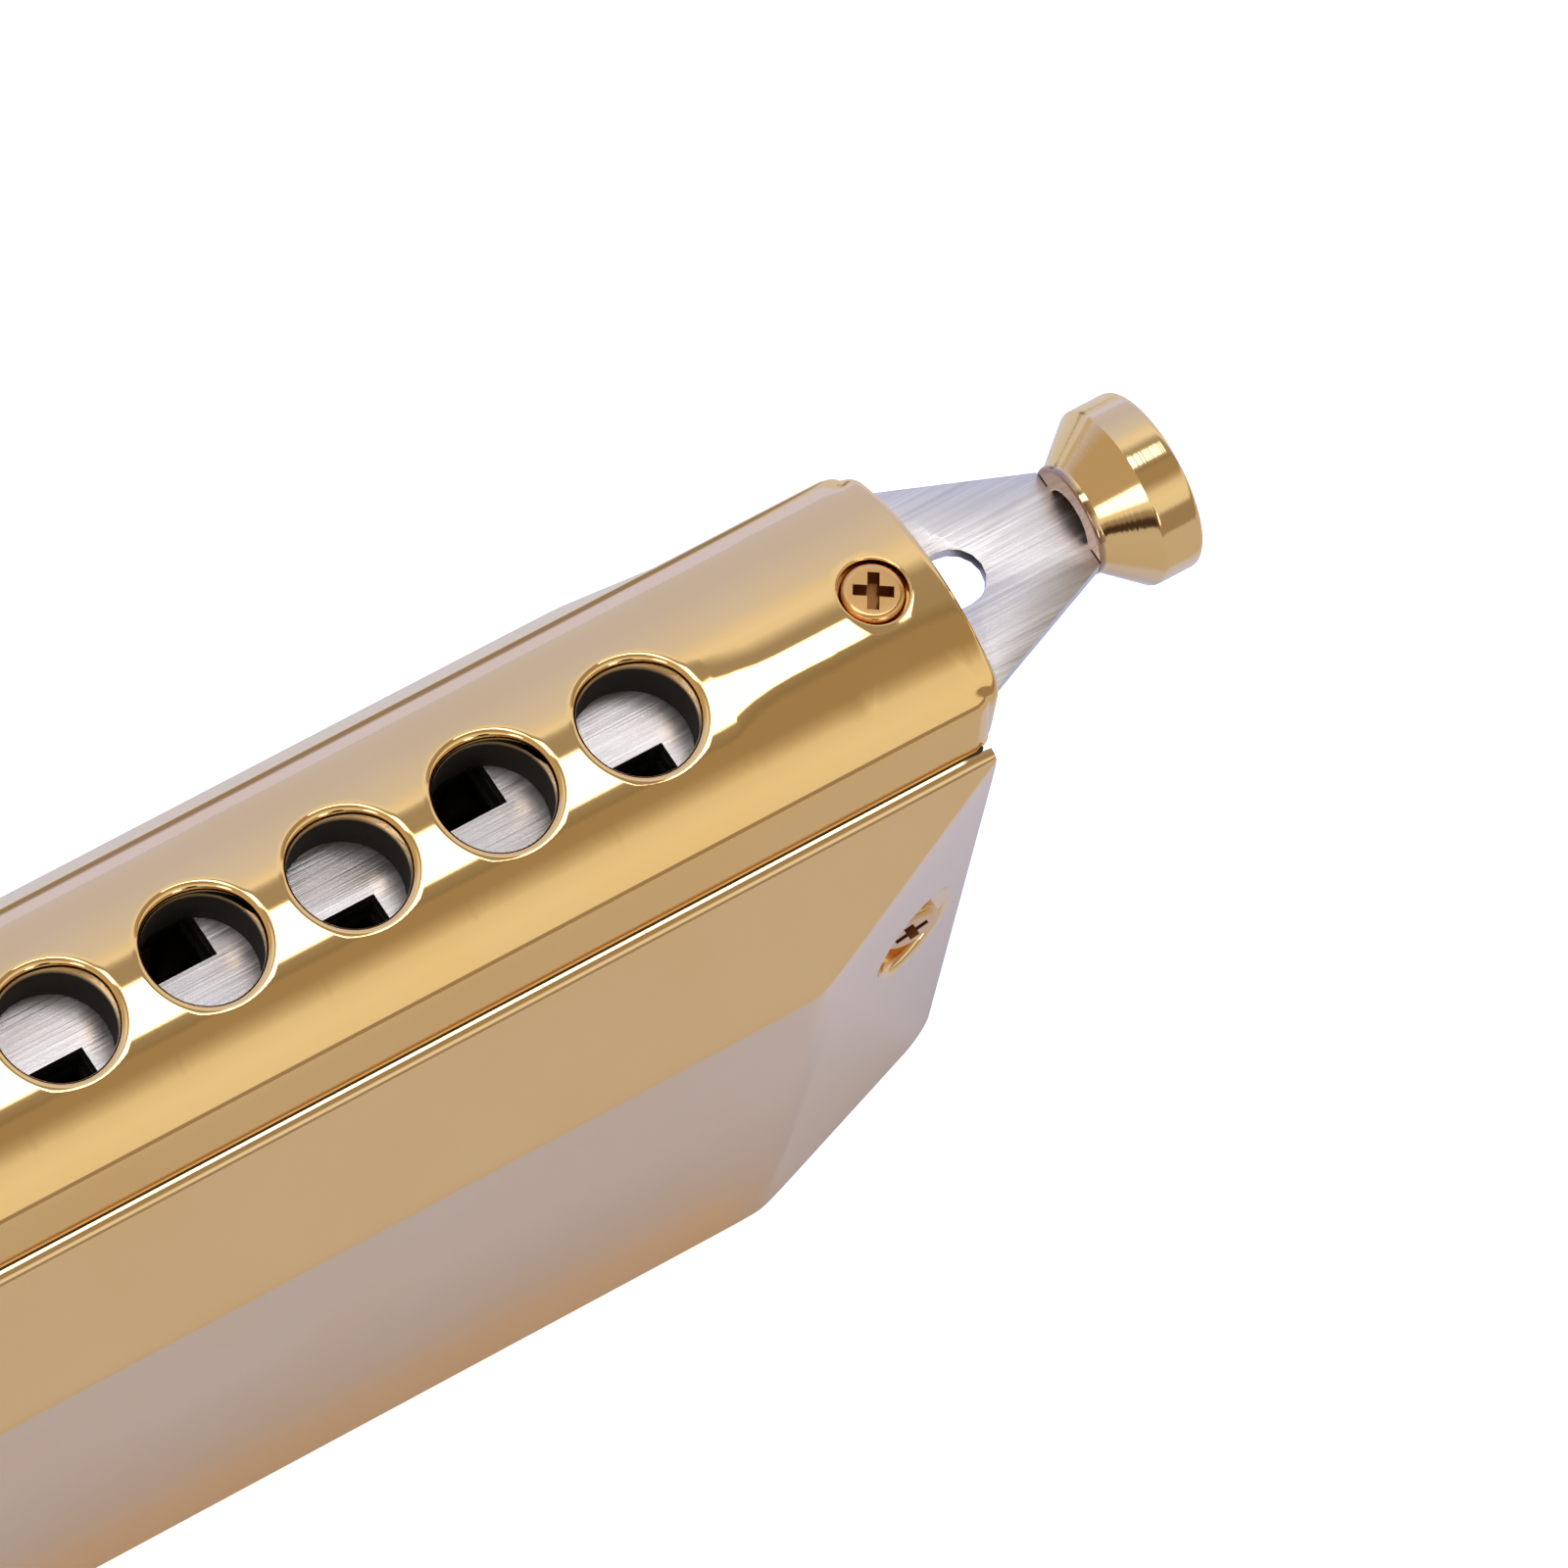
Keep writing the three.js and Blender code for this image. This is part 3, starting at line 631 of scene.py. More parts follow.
# %% Sides, ends and channel of the bar
def side_profile(lean):
    """From the edge of the cells over the rounded edge and down the side, for +Y."""
    low = CREST - CROWN_RADIUS
    reach = CROWN_RADIUS - EDGE_RADIUS
    foot = HALF_WIDTH * math.cos(lean) + (BASE - low) * math.sin(lean) - EDGE_RADIUS
    start = math.asin(foot / reach) - lean
    edge = CROWN_RADIUS * math.sin(start)
    profile = [(y, crown(y)) for y in spaced(CHANNEL_HALF, edge, 4) + [edge]]
    profile += arc(profile[-1], EDGE_RADIUS, start, math.pi / 2 - lean, 12)[1:]
    return profile + straight(profile[-1], (HALF_WIDTH, BASE), 4)


def buffed(point):
    """Lowers the top towards the ends, and draws the upright corners in."""
    x, y, z = point
    fall = END_FALL * (max(abs(x) - END_FALL_FROM, 0.0) / (HALF_LENGTH - END_FALL_FROM)) ** 2
    share = max(z - CHANNEL_TOP, 0.0) / (CREST - CHANNEL_TOP)
    return (*rounded((x, y), (HALF_LENGTH, HALF_WIDTH), CORNER_RADIUS), z - fall * share)


# %% The columns of points along the bar
SCREW_CELL = (SCREW_X - 4.2, SCREW_X + 2.9)
LAST_COLUMN = SCREW_CELL[1]
ROW_END = ROW_HALF + PITCH / 2
GAP_COLUMNS = spaced(ROW_END, SCREW_CELL[0], 5)
ACROSS = spaced(-CHANNEL_HALF, CHANNEL_HALF, CELL_Y) + [CHANNEL_HALF]
END_SHARES = (0.35, 0.7, 0.9)
RIGHT_COLUMNS = spaced(0, ROW_END, CELL_X * HOLES // 2) + GAP_COLUMNS
RIGHT_COLUMNS += spaced(*SCREW_CELL, CELL_X) + [LAST_COLUMN]
COLUMNS = both_ways(RIGHT_COLUMNS)


def rim_columns(profile):
    """Columns from the last cell to the end face, with the end edge rounded over."""
    run = HALF_LENGTH - END_ROUND - LAST_COLUMN
    rows = [[(LAST_COLUMN + run * share, y, z) for y, z in profile] for share in END_SHARES]
    for back, inset in quarter(4):
        narrow = 1 - END_ROUND * inset / HALF_WIDTH
        low = 1 - END_ROUND * inset / (CREST - BASE)
        rows.append([(HALF_LENGTH - END_ROUND * back, y * narrow, BASE + (z - BASE) * low)
                     for y, z in profile])
    return rows


# %% Build the mouthpiece
def add_screw_end(skin, end):
    """The cell of a screw, the stretch between it and the holes, and the roof of the channel."""
    centre = (end * SCREW_X, 0)
    edge = rectangle(*sorted(end * x for x in SCREW_CELL), -CHANNEL_HALF, CHANNEL_HALF)
    cell(skin, edge, centre, RECESS + RECESS_EDGE, on_top, 8)
    floor = bore(skin, edge, centre, RECESS, RECESS_EDGE, RECESS_FLOOR)
    inner = around(edge, centre, SHANK_BORE)
    flat_ring(skin, floor, inner, RECESS_FLOOR)
    skin.add([[(x, y, z) for x, y in inner] for z in (RECESS_FLOOR, CHANNEL_TOP)], closed=True)
    flat_ring(skin, inner, edge, CHANNEL_TOP)
    gap = [end * x for x in GAP_COLUMNS + [SCREW_CELL[0]]]
    skin.add([[on_top(x, y) for y in ACROSS] for x in gap])
    for stretch in (gap, (end * HALF_LENGTH, end * LAST_COLUMN)):
        skin.add([[(x, y, CHANNEL_TOP) for y in ACROSS] for x in stretch])


def add_end_face(skin, end):
    """The rounded end, and its face down to the open channel."""
    middle = list(reversed(ACROSS[1:-1]))
    far, near = side_profile(0.0), side_profile(SIDE_LEAN)
    profile = list(reversed(far)) + [(y, crown(y)) for y in middle] + [(-y, z) for y, z in near]
    rim = [[(end * x, y, z) for x, y, z in row] for row in rim_columns(profile)]
    skin.add([[(end * LAST_COLUMN, y, z) for y, z in profile]] + rim)
    wall = [(CHANNEL_HALF, BASE)] + [(CHANNEL_HALF, CHANNEL_TOP)] * (len(far) - 1)
    inside = wall + [(y, CHANNEL_TOP) for y in middle] + [(-y, z) for y, z in reversed(wall)]
    skin.add([rim[-1], [(end * HALF_LENGTH, y, z) for y, z in inside]])


def add_side(skin, side, lean):
    """One long side, its foot and the wall of the channel."""
    inner, outer = side * CHANNEL_HALF, side * HALF_WIDTH
    profile = [(side * y, z) for y, z in side_profile(lean)]
    skin.add([[(x, y, z) for y, z in profile] for x in COLUMNS])
    skin.add([[(x, outer, BASE), (x, inner, BASE)] for x in COLUMNS])
    whole = [-HALF_LENGTH] + COLUMNS + [HALF_LENGTH]
    skin.add([[(x, inner, CHANNEL_TOP), (x, inner, BASE)] for x in whole])
    foot = [(LAST_COLUMN, outer, BASE)] + [row[0] for row in rim_columns([(outer, BASE)])]
    for end in (1, -1):
        corner = (end * HALF_LENGTH, inner, BASE)
        inside = [(end * LAST_COLUMN, inner, BASE)] + [corner] * (len(foot) - 1)
        skin.add([[(end * x, y, BASE) for x, y, z in foot], inside])


def build_mouthpiece():
    skin = Skin()
    for place in hole_places:
        edge = rectangle(place - PITCH / 2, place + PITCH / 2, -CHANNEL_HALF, CHANNEL_HALF)
        cell(skin, edge, (place, 0), BORE + LIP, on_top, 12)
        bottom = bore(skin, edge, (place, 0), BORE, LIP, CHANNEL_TOP)
        flat_ring(skin, bottom, edge, CHANNEL_TOP)
    for end in (1, -1):
        add_screw_end(skin, end)
        add_end_face(skin, end)
    add_side(skin, 1, 0.0)
    add_side(skin, -1, SIDE_LEAN)
    skin.points = [buffed(point) for point in skin.points]
    return skin.mesh("mouthpiece_fine", 32.0)


dress(build_mouthpiece(), MOUTHPIECE_GOLD, "body", "gold_plate", "mouthpiece")


# %% [markdown]
# ## Covers
#
# A cover is pressed from thin sheet: a tight roll along the front, a facet, a flat face, bevelled
# ends and a rear band that opens a little. It is laid out as rows down the section and columns
# along the length. Where the end bevel meets the face, the lower of the two surfaces wins, with a
# soft change between them, as in a pressed corner. The dimple of the screw is a cell of its own.

# %% Shape of a cover
COVER_END = 71.2
COVER_FRONT = 36.2
COVER_HALF = 14.05
COVER_SHEET = 0.7
REAR_ROUND = 2.0
LAND = 1.45
LAND_TILTS = (math.radians(1.0), math.radians(17.5))
ROLL = 0.678
FACET_TILT = math.radians(61.0)
FACET_STEPS = 30
CREASE = 0.5
FACE_HEIGHT = 26.0
LOWER_HEIGHTS = (14.0, 11.5, 9.5)
BEVEL = math.tan(math.radians(18.9))
END_WALL = 9.45
BAND = 8.3
BAND_CREASE = 0.7
BAND_HEIGHTS = (5.5, 3.2, 2.0, 1.6, 1.2, 0.8, 0.4, 0.0)
FLARE = 0.35
FLARE_START = FLARE * 0.08
PRESS = 0.22
DROOP = 0.3
DROOP_FROM = (69.2, 33.0)
DIMPLE = (66.6, 20.5)
DIMPLE_RADIUS = 2.95
DIMPLE_EDGE = 0.5
DIMPLE_EDGE_SHARE = 0.6
DIMPLE_FOOT = 0.3
DIMPLE_FOOT_SHARE = 0.7
DIMPLE_FLOOR = 9.86
DIMPLE_CELL = (62.9, 70.3, 16.8, 24.2)
DIMPLE_COUNT = CELL_X * 2
COVER_BORE = 1.15


def cover_section():
    """Points (y, z) from the front edge over the land and the roll, down to the rear edge."""
    rows = arc((HALF_WIDTH, COVER_FRONT), LAND, *LAND_TILTS, 7)
    rows += arc(rows[-1], ROLL, LAND_TILTS[1], FACET_TILT, 12)[1:]
    y, z = rows[-1]
    corner = (COVER_HALF, z - (COVER_HALF - y) * math.tan(FACET_TILT))
    rows += straight(rows[-1], corner, FACET_STEPS)[:-2]
    before = (corner[0] - math.cos(FACET_TILT) * CREASE, corner[1] + math.sin(FACET_TILT) * CREASE)
    rows += bend(before, corner, (COVER_HALF, corner[1] - CREASE), 6)
    low, high = DIMPLE_CELL[2:]
    heights = [FACE_HEIGHT, *spaced(high, low, CELL_Y), low, *LOWER_HEIGHTS]
    rows += [(COVER_HALF, height) for height in heights]
    band = (COVER_HALF + FLARE_START, BAND - BAND_CREASE)
    rows += bend((COVER_HALF, BAND + BAND_CREASE), (COVER_HALF, BAND), band, 4)
    return rows + [(COVER_HALF + FLARE * (1 - height / BAND), height) for height in BAND_HEIGHTS]


def soft_least(a, b, blend):
    return (a + b - math.sqrt((a - b) ** 2 + blend ** 2)) / 2


def cover_point(x, y, z):
    """The face or the end bevel, with the rear corners rounded and the front corners drooping."""
    if z < REAR_ROUND:
        x, below = rounded((x, REAR_ROUND - z), (COVER_END, REAR_ROUND), REAR_ROUND)
        z = REAR_ROUND - below
    bevel = END_WALL + (COVER_END - abs(x)) * BEVEL
    end, front = DROOP_FROM
    near_front = min(max((z - front) / (COVER_FRONT - front), 0.0), 1.0)
    droop = DROOP * near_front * (max(abs(x) - end, 0.0) / (COVER_END - end)) ** 2
    return (x, max(soft_least(y, bevel, PRESS), HALF_WIDTH), z - droop)


def on_face(x, z):
    return cover_point(x, COVER_HALF, z)


SECTION = cover_section()
print("rows down a cover", len(SECTION))


# %% Dimple of a cover screw
def dimple(skin, edge, middle):
    """A round edge, a straight wall and a flat floor with the bore of the screw."""
    rim = around(edge, middle, DIMPLE_RADIUS + DIMPLE_EDGE)
    face = [on_face(x, z)[1] for x, z in rim]
    drops = [min(DIMPLE_EDGE, (y - DIMPLE_FLOOR) * DIMPLE_EDGE_SHARE) for y in face]
    rows = []
    for back, down in quarter(6):
        circle = around(edge, middle, DIMPLE_RADIUS + DIMPLE_EDGE * back)
        rows.append([(x, y - drop * down, z) for (x, z), y, drop in zip(circle, face, drops)])
    rises = [min(DIMPLE_FOOT, (y - DIMPLE_FLOOR) * DIMPLE_FOOT_SHARE) for x, y, z in rows[-1]]
    for up, inward in quarter(5):
        circle = around(edge, middle, DIMPLE_RADIUS - DIMPLE_FOOT * inward)
        rows.append([(x, DIMPLE_FLOOR + rise * up, z) for (x, z), rise in zip(circle, rises)])
    rows.append([(x, DIMPLE_FLOOR, z) for x, z in around(edge, middle, COVER_BORE)])
    skin.add(rows, closed=True)


# %% Sheet of a cover
END_INSETS = (0.15, 0.08, 0.03)
END_EDGE = 0.12
STRETCHES = ((0, 50, 8), (50, 56, 6), (56, 60, 14), (60, DIMPLE_CELL[0], 10),
             (*DIMPLE_CELL[:2], DIMPLE_COUNT), (DIMPLE_CELL[1], COVER_END - END_INSETS[0], 4))


def cover_columns():
    half = [x for stretch in STRETCHES for x in spaced(*stretch)]
    return half + [COVER_END - inset for inset in END_INSETS]


def add_cover_end(skin, end, outer, face_rows):
    """The dimple with the sheet beyond it, and the edge of the sheet down to the reed plate."""
    skin.add([[cover_point(end * x, y, z) for y, z in face_rows] for x in outer])
    low, high = sorted(end * x for x in DIMPLE_CELL[:2])
    edge = rectangle(low, high, *DIMPLE_CELL[2:], DIMPLE_COUNT)
    middle = (end * DIMPLE[0], DIMPLE[1])
    cell(skin, edge, middle, DIMPLE_RADIUS + DIMPLE_EDGE, on_face, 6)
    dimple(skin, edge, middle)
    last = [cover_point(end * outer[-1], y, z) for y, z in SECTION]
    wall = [(x + end * END_INSETS[-1], max(y - END_EDGE, HALF_WIDTH), z) for x, y, z in last]
    skin.add([last, wall, [(x, HALF_WIDTH, z) for x, y, z in wall]])


def build_cover(name, side):
    skin = Skin()
    half = cover_columns()
    columns = both_ways(half)
    high_row = SECTION.index((COVER_HALF, DIMPLE_CELL[3]))
    low_row = high_row + CELL_Y
    face_rows = SECTION[high_row:low_row + 1]
    inner = [x for x in columns if abs(x) <= DIMPLE_CELL[0] + 1e-6]
    outer = [x for x in half if x >= DIMPLE_CELL[1] - 1e-6]
    above, below = SECTION[:high_row + 1], SECTION[low_row:]
    for rows, stretch in ((above, columns), (below, columns), (face_rows, inner)):
        skin.add([[cover_point(x, y, z) for y, z in rows] for x in stretch])
    for end in (1, -1):
        add_cover_end(skin, end, outer, face_rows)
    skin.points = [(x, side * y, z) for x, y, z in skin.points]
    return with_wall(skin, name, side)


# %% Give the sheet its thickness
def with_wall(skin, name, side):
    """Turns the sheet's faces outwards, then adds the inner face with a Solidify modifier."""
    mesh = skin.mesh(name + "_sheet")
    largest = max(mesh.polygons, key=lambda face: face.area)
    if largest.normal.y * side < 0:
        mesh.flip_normals()
    maker = linked(name + "_maker", mesh)
    wall = maker.modifiers.new("wall", "SOLIDIFY")
    wall.thickness = COVER_SHEET * MM
    wall.offset = -1.0
    wall.use_even_offset = True
    made = plain_mesh(maker, name)
    for vertex in made.vertices:
        vertex.co.z = max(vertex.co.z, 0.0)
    return shade(made, 33)


def plain_mesh(maker, name):
    """The evaluated mesh of an object; the object that made it is taken away."""
    evaluated = maker.evaluated_get(bpy.context.evaluated_depsgraph_get())
    mesh = bpy.data.meshes.new_from_object(evaluated)
    mesh.name = name
    old = maker.data
    bpy.data.objects.remove(maker)
    bpy.data.meshes.remove(old)
    print(name, "faces", len(mesh.polygons))
    return mesh


dress(build_cover("upper_cover_fine", 1), COVER_GOLD, "body", "gold_plate", "upper_cover")
dress(build_cover("lower_cover_fine", -1), COVER_GOLD, "body", "gold_plate", "lower_cover")


# %% [markdown]
# ## Button
#
# The button is turned from rod, so its piece is a lathe form: a short neck with a hollow face, a
# flaring cone and a broad rim. The slide's end sits in the hollow. Every corner is broken by a
# small radius, because a sharp one would catch no light.

# %% Outline of the button
BUTTON_AXIS = 39.05
# Each corner is a radius, a place along the axis and how far its rounding cuts back.
BUTTON_CORNERS = [
    (0.0, 3.4, 0.0), (1.9, 3.4, 0.0), (1.9, 0.0, 0.15), (3.4, 0.0, 0.2), (3.4, 0.45, 0.06),
    (5.5, 3.0, 0.12), (5.5, 5.6, 0.35), (5.05, 5.66, 0.1), (0.0, 5.7, 0.0),
]
BUTTON_SIDES = 144
BUTTON_STEP = 0.3


def rounded_outline(corners, count):
    """A line through the corners, each rounded by its own cut-back length."""
    points = [Vector(corner[:2]) for corner in corners]
    line = []
    for i, (radius, along, cut) in enumerate(corners):
        if cut == 0.0:
            line.append((radius, along))
            continue
        ends = [points[i] + (near - points[i]).normalized() * cut for near in points[i - 1:i + 2:2]]
        line += bend(ends[0], points[i], ends[1], count)
    return line


def dense(line, longest):
    points = line[:1]
    for first, second in zip(line, line[1:]):
        points += straight(first, second, max(1, math.ceil(math.dist(first, second) / longest)))
    return points


def build_button():
    turns = spaced(0.0, 2 * math.pi, BUTTON_SIDES)
    line = dense(rounded_outline(BUTTON_CORNERS, 6), BUTTON_STEP)
    rows = [[(BUTTON_FACE + along, radius * math.cos(a), BUTTON_AXIS + radius * math.sin(a))
             for a in turns] for radius, along in line[1:-1]]
    skin = Skin()
    skin.add(rows, closed=True)
    skin.cap(rows[0])
    skin.cap(rows[-1])
    return skin.mesh("button_turned", 33.0)


dress(build_button(), BUTTON_GOLD, "slide", "gold_plate", "slide_button")


# %% [markdown]
# ## Slide
#
# The slide is a thin ground plate. Its shape is right in the frame, but its edges are knife sharp
# there, and real edges are broken by tumbling. A copy of its mesh is merged, its flat faces are
# joined, and the sharp edges get a narrow bevel that catches the light.


# %% Copies with broken edges
SHARP_ANGLE = 0.8


def merged_copy(node, name):
    """A copy of a node's mesh, opened for editing, with its corners joined."""
    mesh = NODES[node].data.copy()
    mesh.name = name
    work = bmesh.new()
    work.from_mesh(mesh)
    bmesh.ops.remove_doubles(work, verts=work.verts, dist=0.000002)
    return mesh, work


def broken_edges(node, name, width):
    mesh, work = merged_copy(node, name)
    bmesh.ops.dissolve_limit(work, angle_limit=math.radians(1.0), verts=work.verts, edges=work.edges)
    sharp = [edge for edge in work.edges if edge.calc_face_angle(0.0) > SHARP_ANGLE]
    bmesh.ops.bevel(work, geom=sharp, offset=width * MM, segments=2, profile=0.5, affect="EDGES",
                    clamp_overlap=True)
    bmesh.ops.triangulate(work, faces=work.faces)
    return settle(mesh, work, 50)


dress(broken_edges("slide", "slide_ground", 0.07), SLIDE_STEEL, "slide", "slide_steel", "slide")


# %% [markdown]
# ## Screws
#
# Every screw has the same rule: a shank, a flat seat, a domed head and a tapered cross. One
# Geometry Nodes tree makes them all from a cylinder. Its rings are moved to a radius and a height
# that follow the screw's outline, and two tapered bars cut the cross. The trees work in metres.


# %% Building a geometry tree
def new_geometry_tree(name, sizes):
    """A tree with one input for each size; a size that is a material gets a material input."""
    tree = bpy.data.node_groups.new(name, "GeometryNodeTree")
    for label, value in sizes.items():
        kind = "Material" if isinstance(value, bpy.types.Material) else "Float"
        socket = tree.interface.new_socket(label, in_out="INPUT", socket_type="NodeSocket" + kind)
        socket.default_value = value
    tree.interface.new_socket("Geometry", in_out="OUTPUT", socket_type="NodeSocketGeometry")
    entry = tree.nodes.new("NodeGroupInput")
    return Signal(tree), {label: Signal(tree, entry.outputs[label]) for label in sizes}


def moved_to(start, shape, x, y, z):
    place = start.node("ShaderNodeCombineXYZ", {0: x, 1: y, 2: z})
    return start.node("GeometryNodeSetPosition", {"Geometry": shape, "Position": place})


def finish_tree(start, shape, material, where=True):
    real = start.node("GeometryNodeRealizeInstances", {"Geometry": shape})
    choice = {"Geometry": real, "Selection": where, "Material": material}
    start.node("NodeGroupOutput", {"Geometry": start.node("GeometryNodeSetMaterial", choice)})
    return start.tree


# %% The tree of a cross screw
MOUTHPIECE_SCREW = {
    "Head Radius": 0.00192, "Head Height": 0.0013, "Flat Share": 0.76, "Shank Radius": 0.001,
    "Length": 0.017, "Cross Reach": 0.00122, "Cross Width": 0.00036, "Cross Depth": 0.0011,
    "Finish": SCREW_GOLD, "Recess Finish": RECESS_SHADE_GOLD}
COVER_SCREW = {
    **MOUTHPIECE_SCREW, "Head Radius": 0.00195, "Head Height": 0.0009, "Flat Share": 0.74,
    "Shank Radius": 0.0009, "Length": 0.006, "Cross Reach": 0.00115, "Cross Width": 0.00033,
    "Cross Depth": 0.0008}
PLATE_SCREW = {
    "Head Radius": 0.0015, "Head Height": 0.00055, "Flat Share": 0.75, "Shank Radius": 0.0007,
    "Length": 0.0041, "Cross Reach": 0.0009, "Cross Width": 0.00022, "Cross Depth": 0.00035,
    "Finish": REED_BRASS, "Recess Finish": REED_BRASS}
# The stretches of the cylinder's length that make the parts of the outline.
TIP, SHANK, SEAT, WALL, DOME = (0.0, 0.1), (0.1, 0.4), (0.4, 0.425), (0.45, 0.5), (0.5, 1.0)
TIP_SHARE = 0.4
WALL_SHARE = 0.55
BAR_TAPER = 0.18
BAR_CLEARANCE = 0.0003
RECESS_LOW = 0.00004
RECESS_BELOW_TOP = 0.0001
RECESS_SPREAD = 1.1


def cross_bar(start, size, long_axis):
    """A bar with its top above the head, narrower at its foot, through the middle of the head."""
    shape = start.node("GeometryNodeMeshCube", {"Size": EVEN, "Vertices X": 2, "Vertices Y": 2})
    x, y, z = start.node("GeometryNodeInputPosition").split()
    up = z + 0.5
    narrow = 1.0 - BAR_TAPER + up * BAR_TAPER
    reach = size["Cross Reach"] * 2.0 * narrow
    width = size["Cross Width"] * 2.0 * narrow
    height = size["Head Height"] - size["Cross Depth"] + up * (size["Cross Depth"] + BAR_CLEARANCE)
    along, across = (reach, width) if long_axis == 0 else (width, reach)
    return moved_to(start, shape, x * along, y * across, height)


def build_screw_tree():
    start, size = new_geometry_tree("cross_screw", MOUTHPIECE_SCREW)
    head, shank, length = size["Head Radius"], size["Shank Radius"], size["Length"]
    counts = {"Vertices": 56, "Side Segments": 40, "Radius": 1.0, "Depth": 1.0}
    rod = start.node("GeometryNodeMeshCylinder", counts, fill_type="TRIANGLE_FAN")
    x, y, z = start.node("GeometryNodeInputPosition").split()
    t = z + 0.5
    turn = t.spread(*DOME) * (math.pi / 2)
    radius = shank * (TIP_SHARE + t.spread(*TIP) * (1.0 - TIP_SHARE))
    radius = radius + (head - shank) * t.spread(*SEAT)
    radius = radius - head * (1.0 - size["Flat Share"]) * (1.0 - turn.math("COSINE"))
    height = shank * t.spread(*TIP) - length + (length - shank) * t.spread(*SHANK)
    height = height + size["Head Height"] * WALL_SHARE * t.spread(*WALL)
    height = height + size["Head Height"] * (1.0 - WALL_SHARE) * turn.math("SINE")
    body = moved_to(start, rod, x * radius, y * radius, height)
    for axis in (0, 1):
        both = {"Mesh 1": body, "Mesh 2": cross_bar(start, size, axis)}
        body = start.node("GeometryNodeMeshBoolean", both, operation="DIFFERENCE", solver="EXACT")
    # The faces in the cross recess take the recess finish, which on the gold screws is a painted
    # shade.
    x, y, z = start.node("GeometryNodeInputPosition").split()
    limit = size["Cross Reach"] * size["Cross Reach"] * RECESS_SPREAD
    inward = (x * x + y * y).math("LESS_THAN", limit)
    under = z.math("LESS_THAN", size["Head Height"] - RECESS_BELOW_TOP)
    recess = inward * under * z.math("GREATER_THAN", RECESS_LOW)
    body = start.node("GeometryNodeSetMaterial", {"Geometry": body, "Material": size["Finish"]})
    return finish_tree(start, body, size["Recess Finish"], recess)


SCREW_TREE = build_screw_tree()
print("nodes in the screw tree", len(SCREW_TREE.nodes))


# %% Run a tree into a plain mesh
def grown(tree, name, sizes):
    """Sets the inputs by their identifiers, evaluates the tree and keeps the mesh."""
    maker = linked(name + "_maker", bpy.data.meshes.new(name + "_empty"))
    modifier = maker.modifiers.new("tree", "NODES")
    modifier.node_group = tree
    for item in tree.interface.items_tree:
        if item.in_out == "INPUT" and item.name in sizes:
            modifier[item.identifier] = sizes[item.name]
    return plain_mesh(maker, name)


def place_screw(node, sizes, axis, spin, slot, material=None):
    """Seats a screw's head at the outer end of its node, with its shank pointing inwards."""
    sign = -1 if node.startswith("lower") else 1
    low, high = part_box(node)
    seat = [(a + b) / 2 for a, b in zip(low, high)]
    seat[axis] = (high if sign > 0 else low)[axis] - sign * sizes["Head Height"]
    outward = Vector((0, 0, 0))
    outward[axis] = sign
    lay = Vector((0, 0, 1)).rotation_difference(outward).to_matrix().to_4x4()
    mesh = grown(SCREW_TREE, node + "_fine", sizes)
    mesh.transform(Matrix.Translation(seat) @ lay @ Matrix.Rotation(math.radians(spin), 4, "Z"))
    dress(shade(mesh, 38), material, "body", slot, node)


# %% Place the screws
SPINS = {"mouthpiece": (57.0, 67.0), "upper_cover": (12.0, 50.0), "lower_cover": (20.0, 74.0)}
PLATE_SPIN = 37.0
for holder, spins in SPINS.items():
    sizes, axis = (MOUTHPIECE_SCREW, 2) if holder == "mouthpiece" else (COVER_SCREW, 1)
    for end, spin in zip(("right", "left"), spins):
        place_screw(f"{holder}_screw_{end}", sizes, axis, spin, "gold_screw")
for index, node in enumerate(sorted(name for name in NODES if "plate_screw" in name)):
    place_screw(node, PLATE_SCREW, 1, PLATE_SPIN * index, "plate_screw_brass", REED_BRASS)


# %% [markdown]
# ## Rivets of the reeds
#
# Each reed is held by a rivet through its pad. The rivets repeat at the pitch of the holes, so one
# tree places a small dome on every point of a row.


# %% The tree of a row of rivets
WINDOW_OFFSET = -0.4
REED_OFFSET = 2.1
RIVETS = {"Pitch": PITCH * MM, "First": (ROW_HALF + SHIFT + WINDOW_OFFSET + REED_OFFSET) * MM,
          "Height": 0.0331, "Face": 0.00905, "Radius": 0.0006, "Finish": REED_BRASS}


def build_rivet_tree():
    start, size = new_geometry_tree("rivet_row", RIVETS)
    row = start.node("GeometryNodeMeshLine", {"Count": HOLES}, mode="OFFSET")
    x = size["First"] - start.node("GeometryNodeInputIndex") * size["Pitch"]
    points = moved_to(start, row, x, size["Face"], size["Height"])
    dome = start.node("GeometryNodeMeshUVSphere", {"Segments": 14, "Rings": 8, "Radius": 1.0})
    radius = size["Radius"]
    scale = start.node("ShaderNodeCombineXYZ", {0: radius, 1: radius * 0.5, 2: radius})
    row = {"Points": points, "Instance": dome, "Scale": scale}
    return finish_tree(start, start.node("GeometryNodeInstanceOnPoints", row), size["Finish"])


RIVET_TREE = build_rivet_tree()


def rivet_row(name, side):
    """A row over the pads of the draw reeds, which lie on the outer face of their plate."""
    mesh = grown(RIVET_TREE, name, {**RIVETS, "Face": side * RIVETS["Face"]})
    mesh.shade_smooth()
    dress(mesh, REED_BRASS, "body", "reed_brass")


rivet_row("upper_rivets", 1)
rivet_row("lower_rivets", -1)


# %% [markdown]
# ## Return spring
#
# The spring's arm follows the slide while its coil stays on the comb. Here the piece is a merged
# copy of its node with a wire finish; it rides on no body, and its place is baked into its points.


# %% Spring with a wire finish
spring_mesh = settle(*merged_copy("slide_spring", "return_spring"), 180)
spring = dress(spring_mesh, SPRING_WIRE, None, "spring_steel", "slide_spring")
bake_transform(spring)

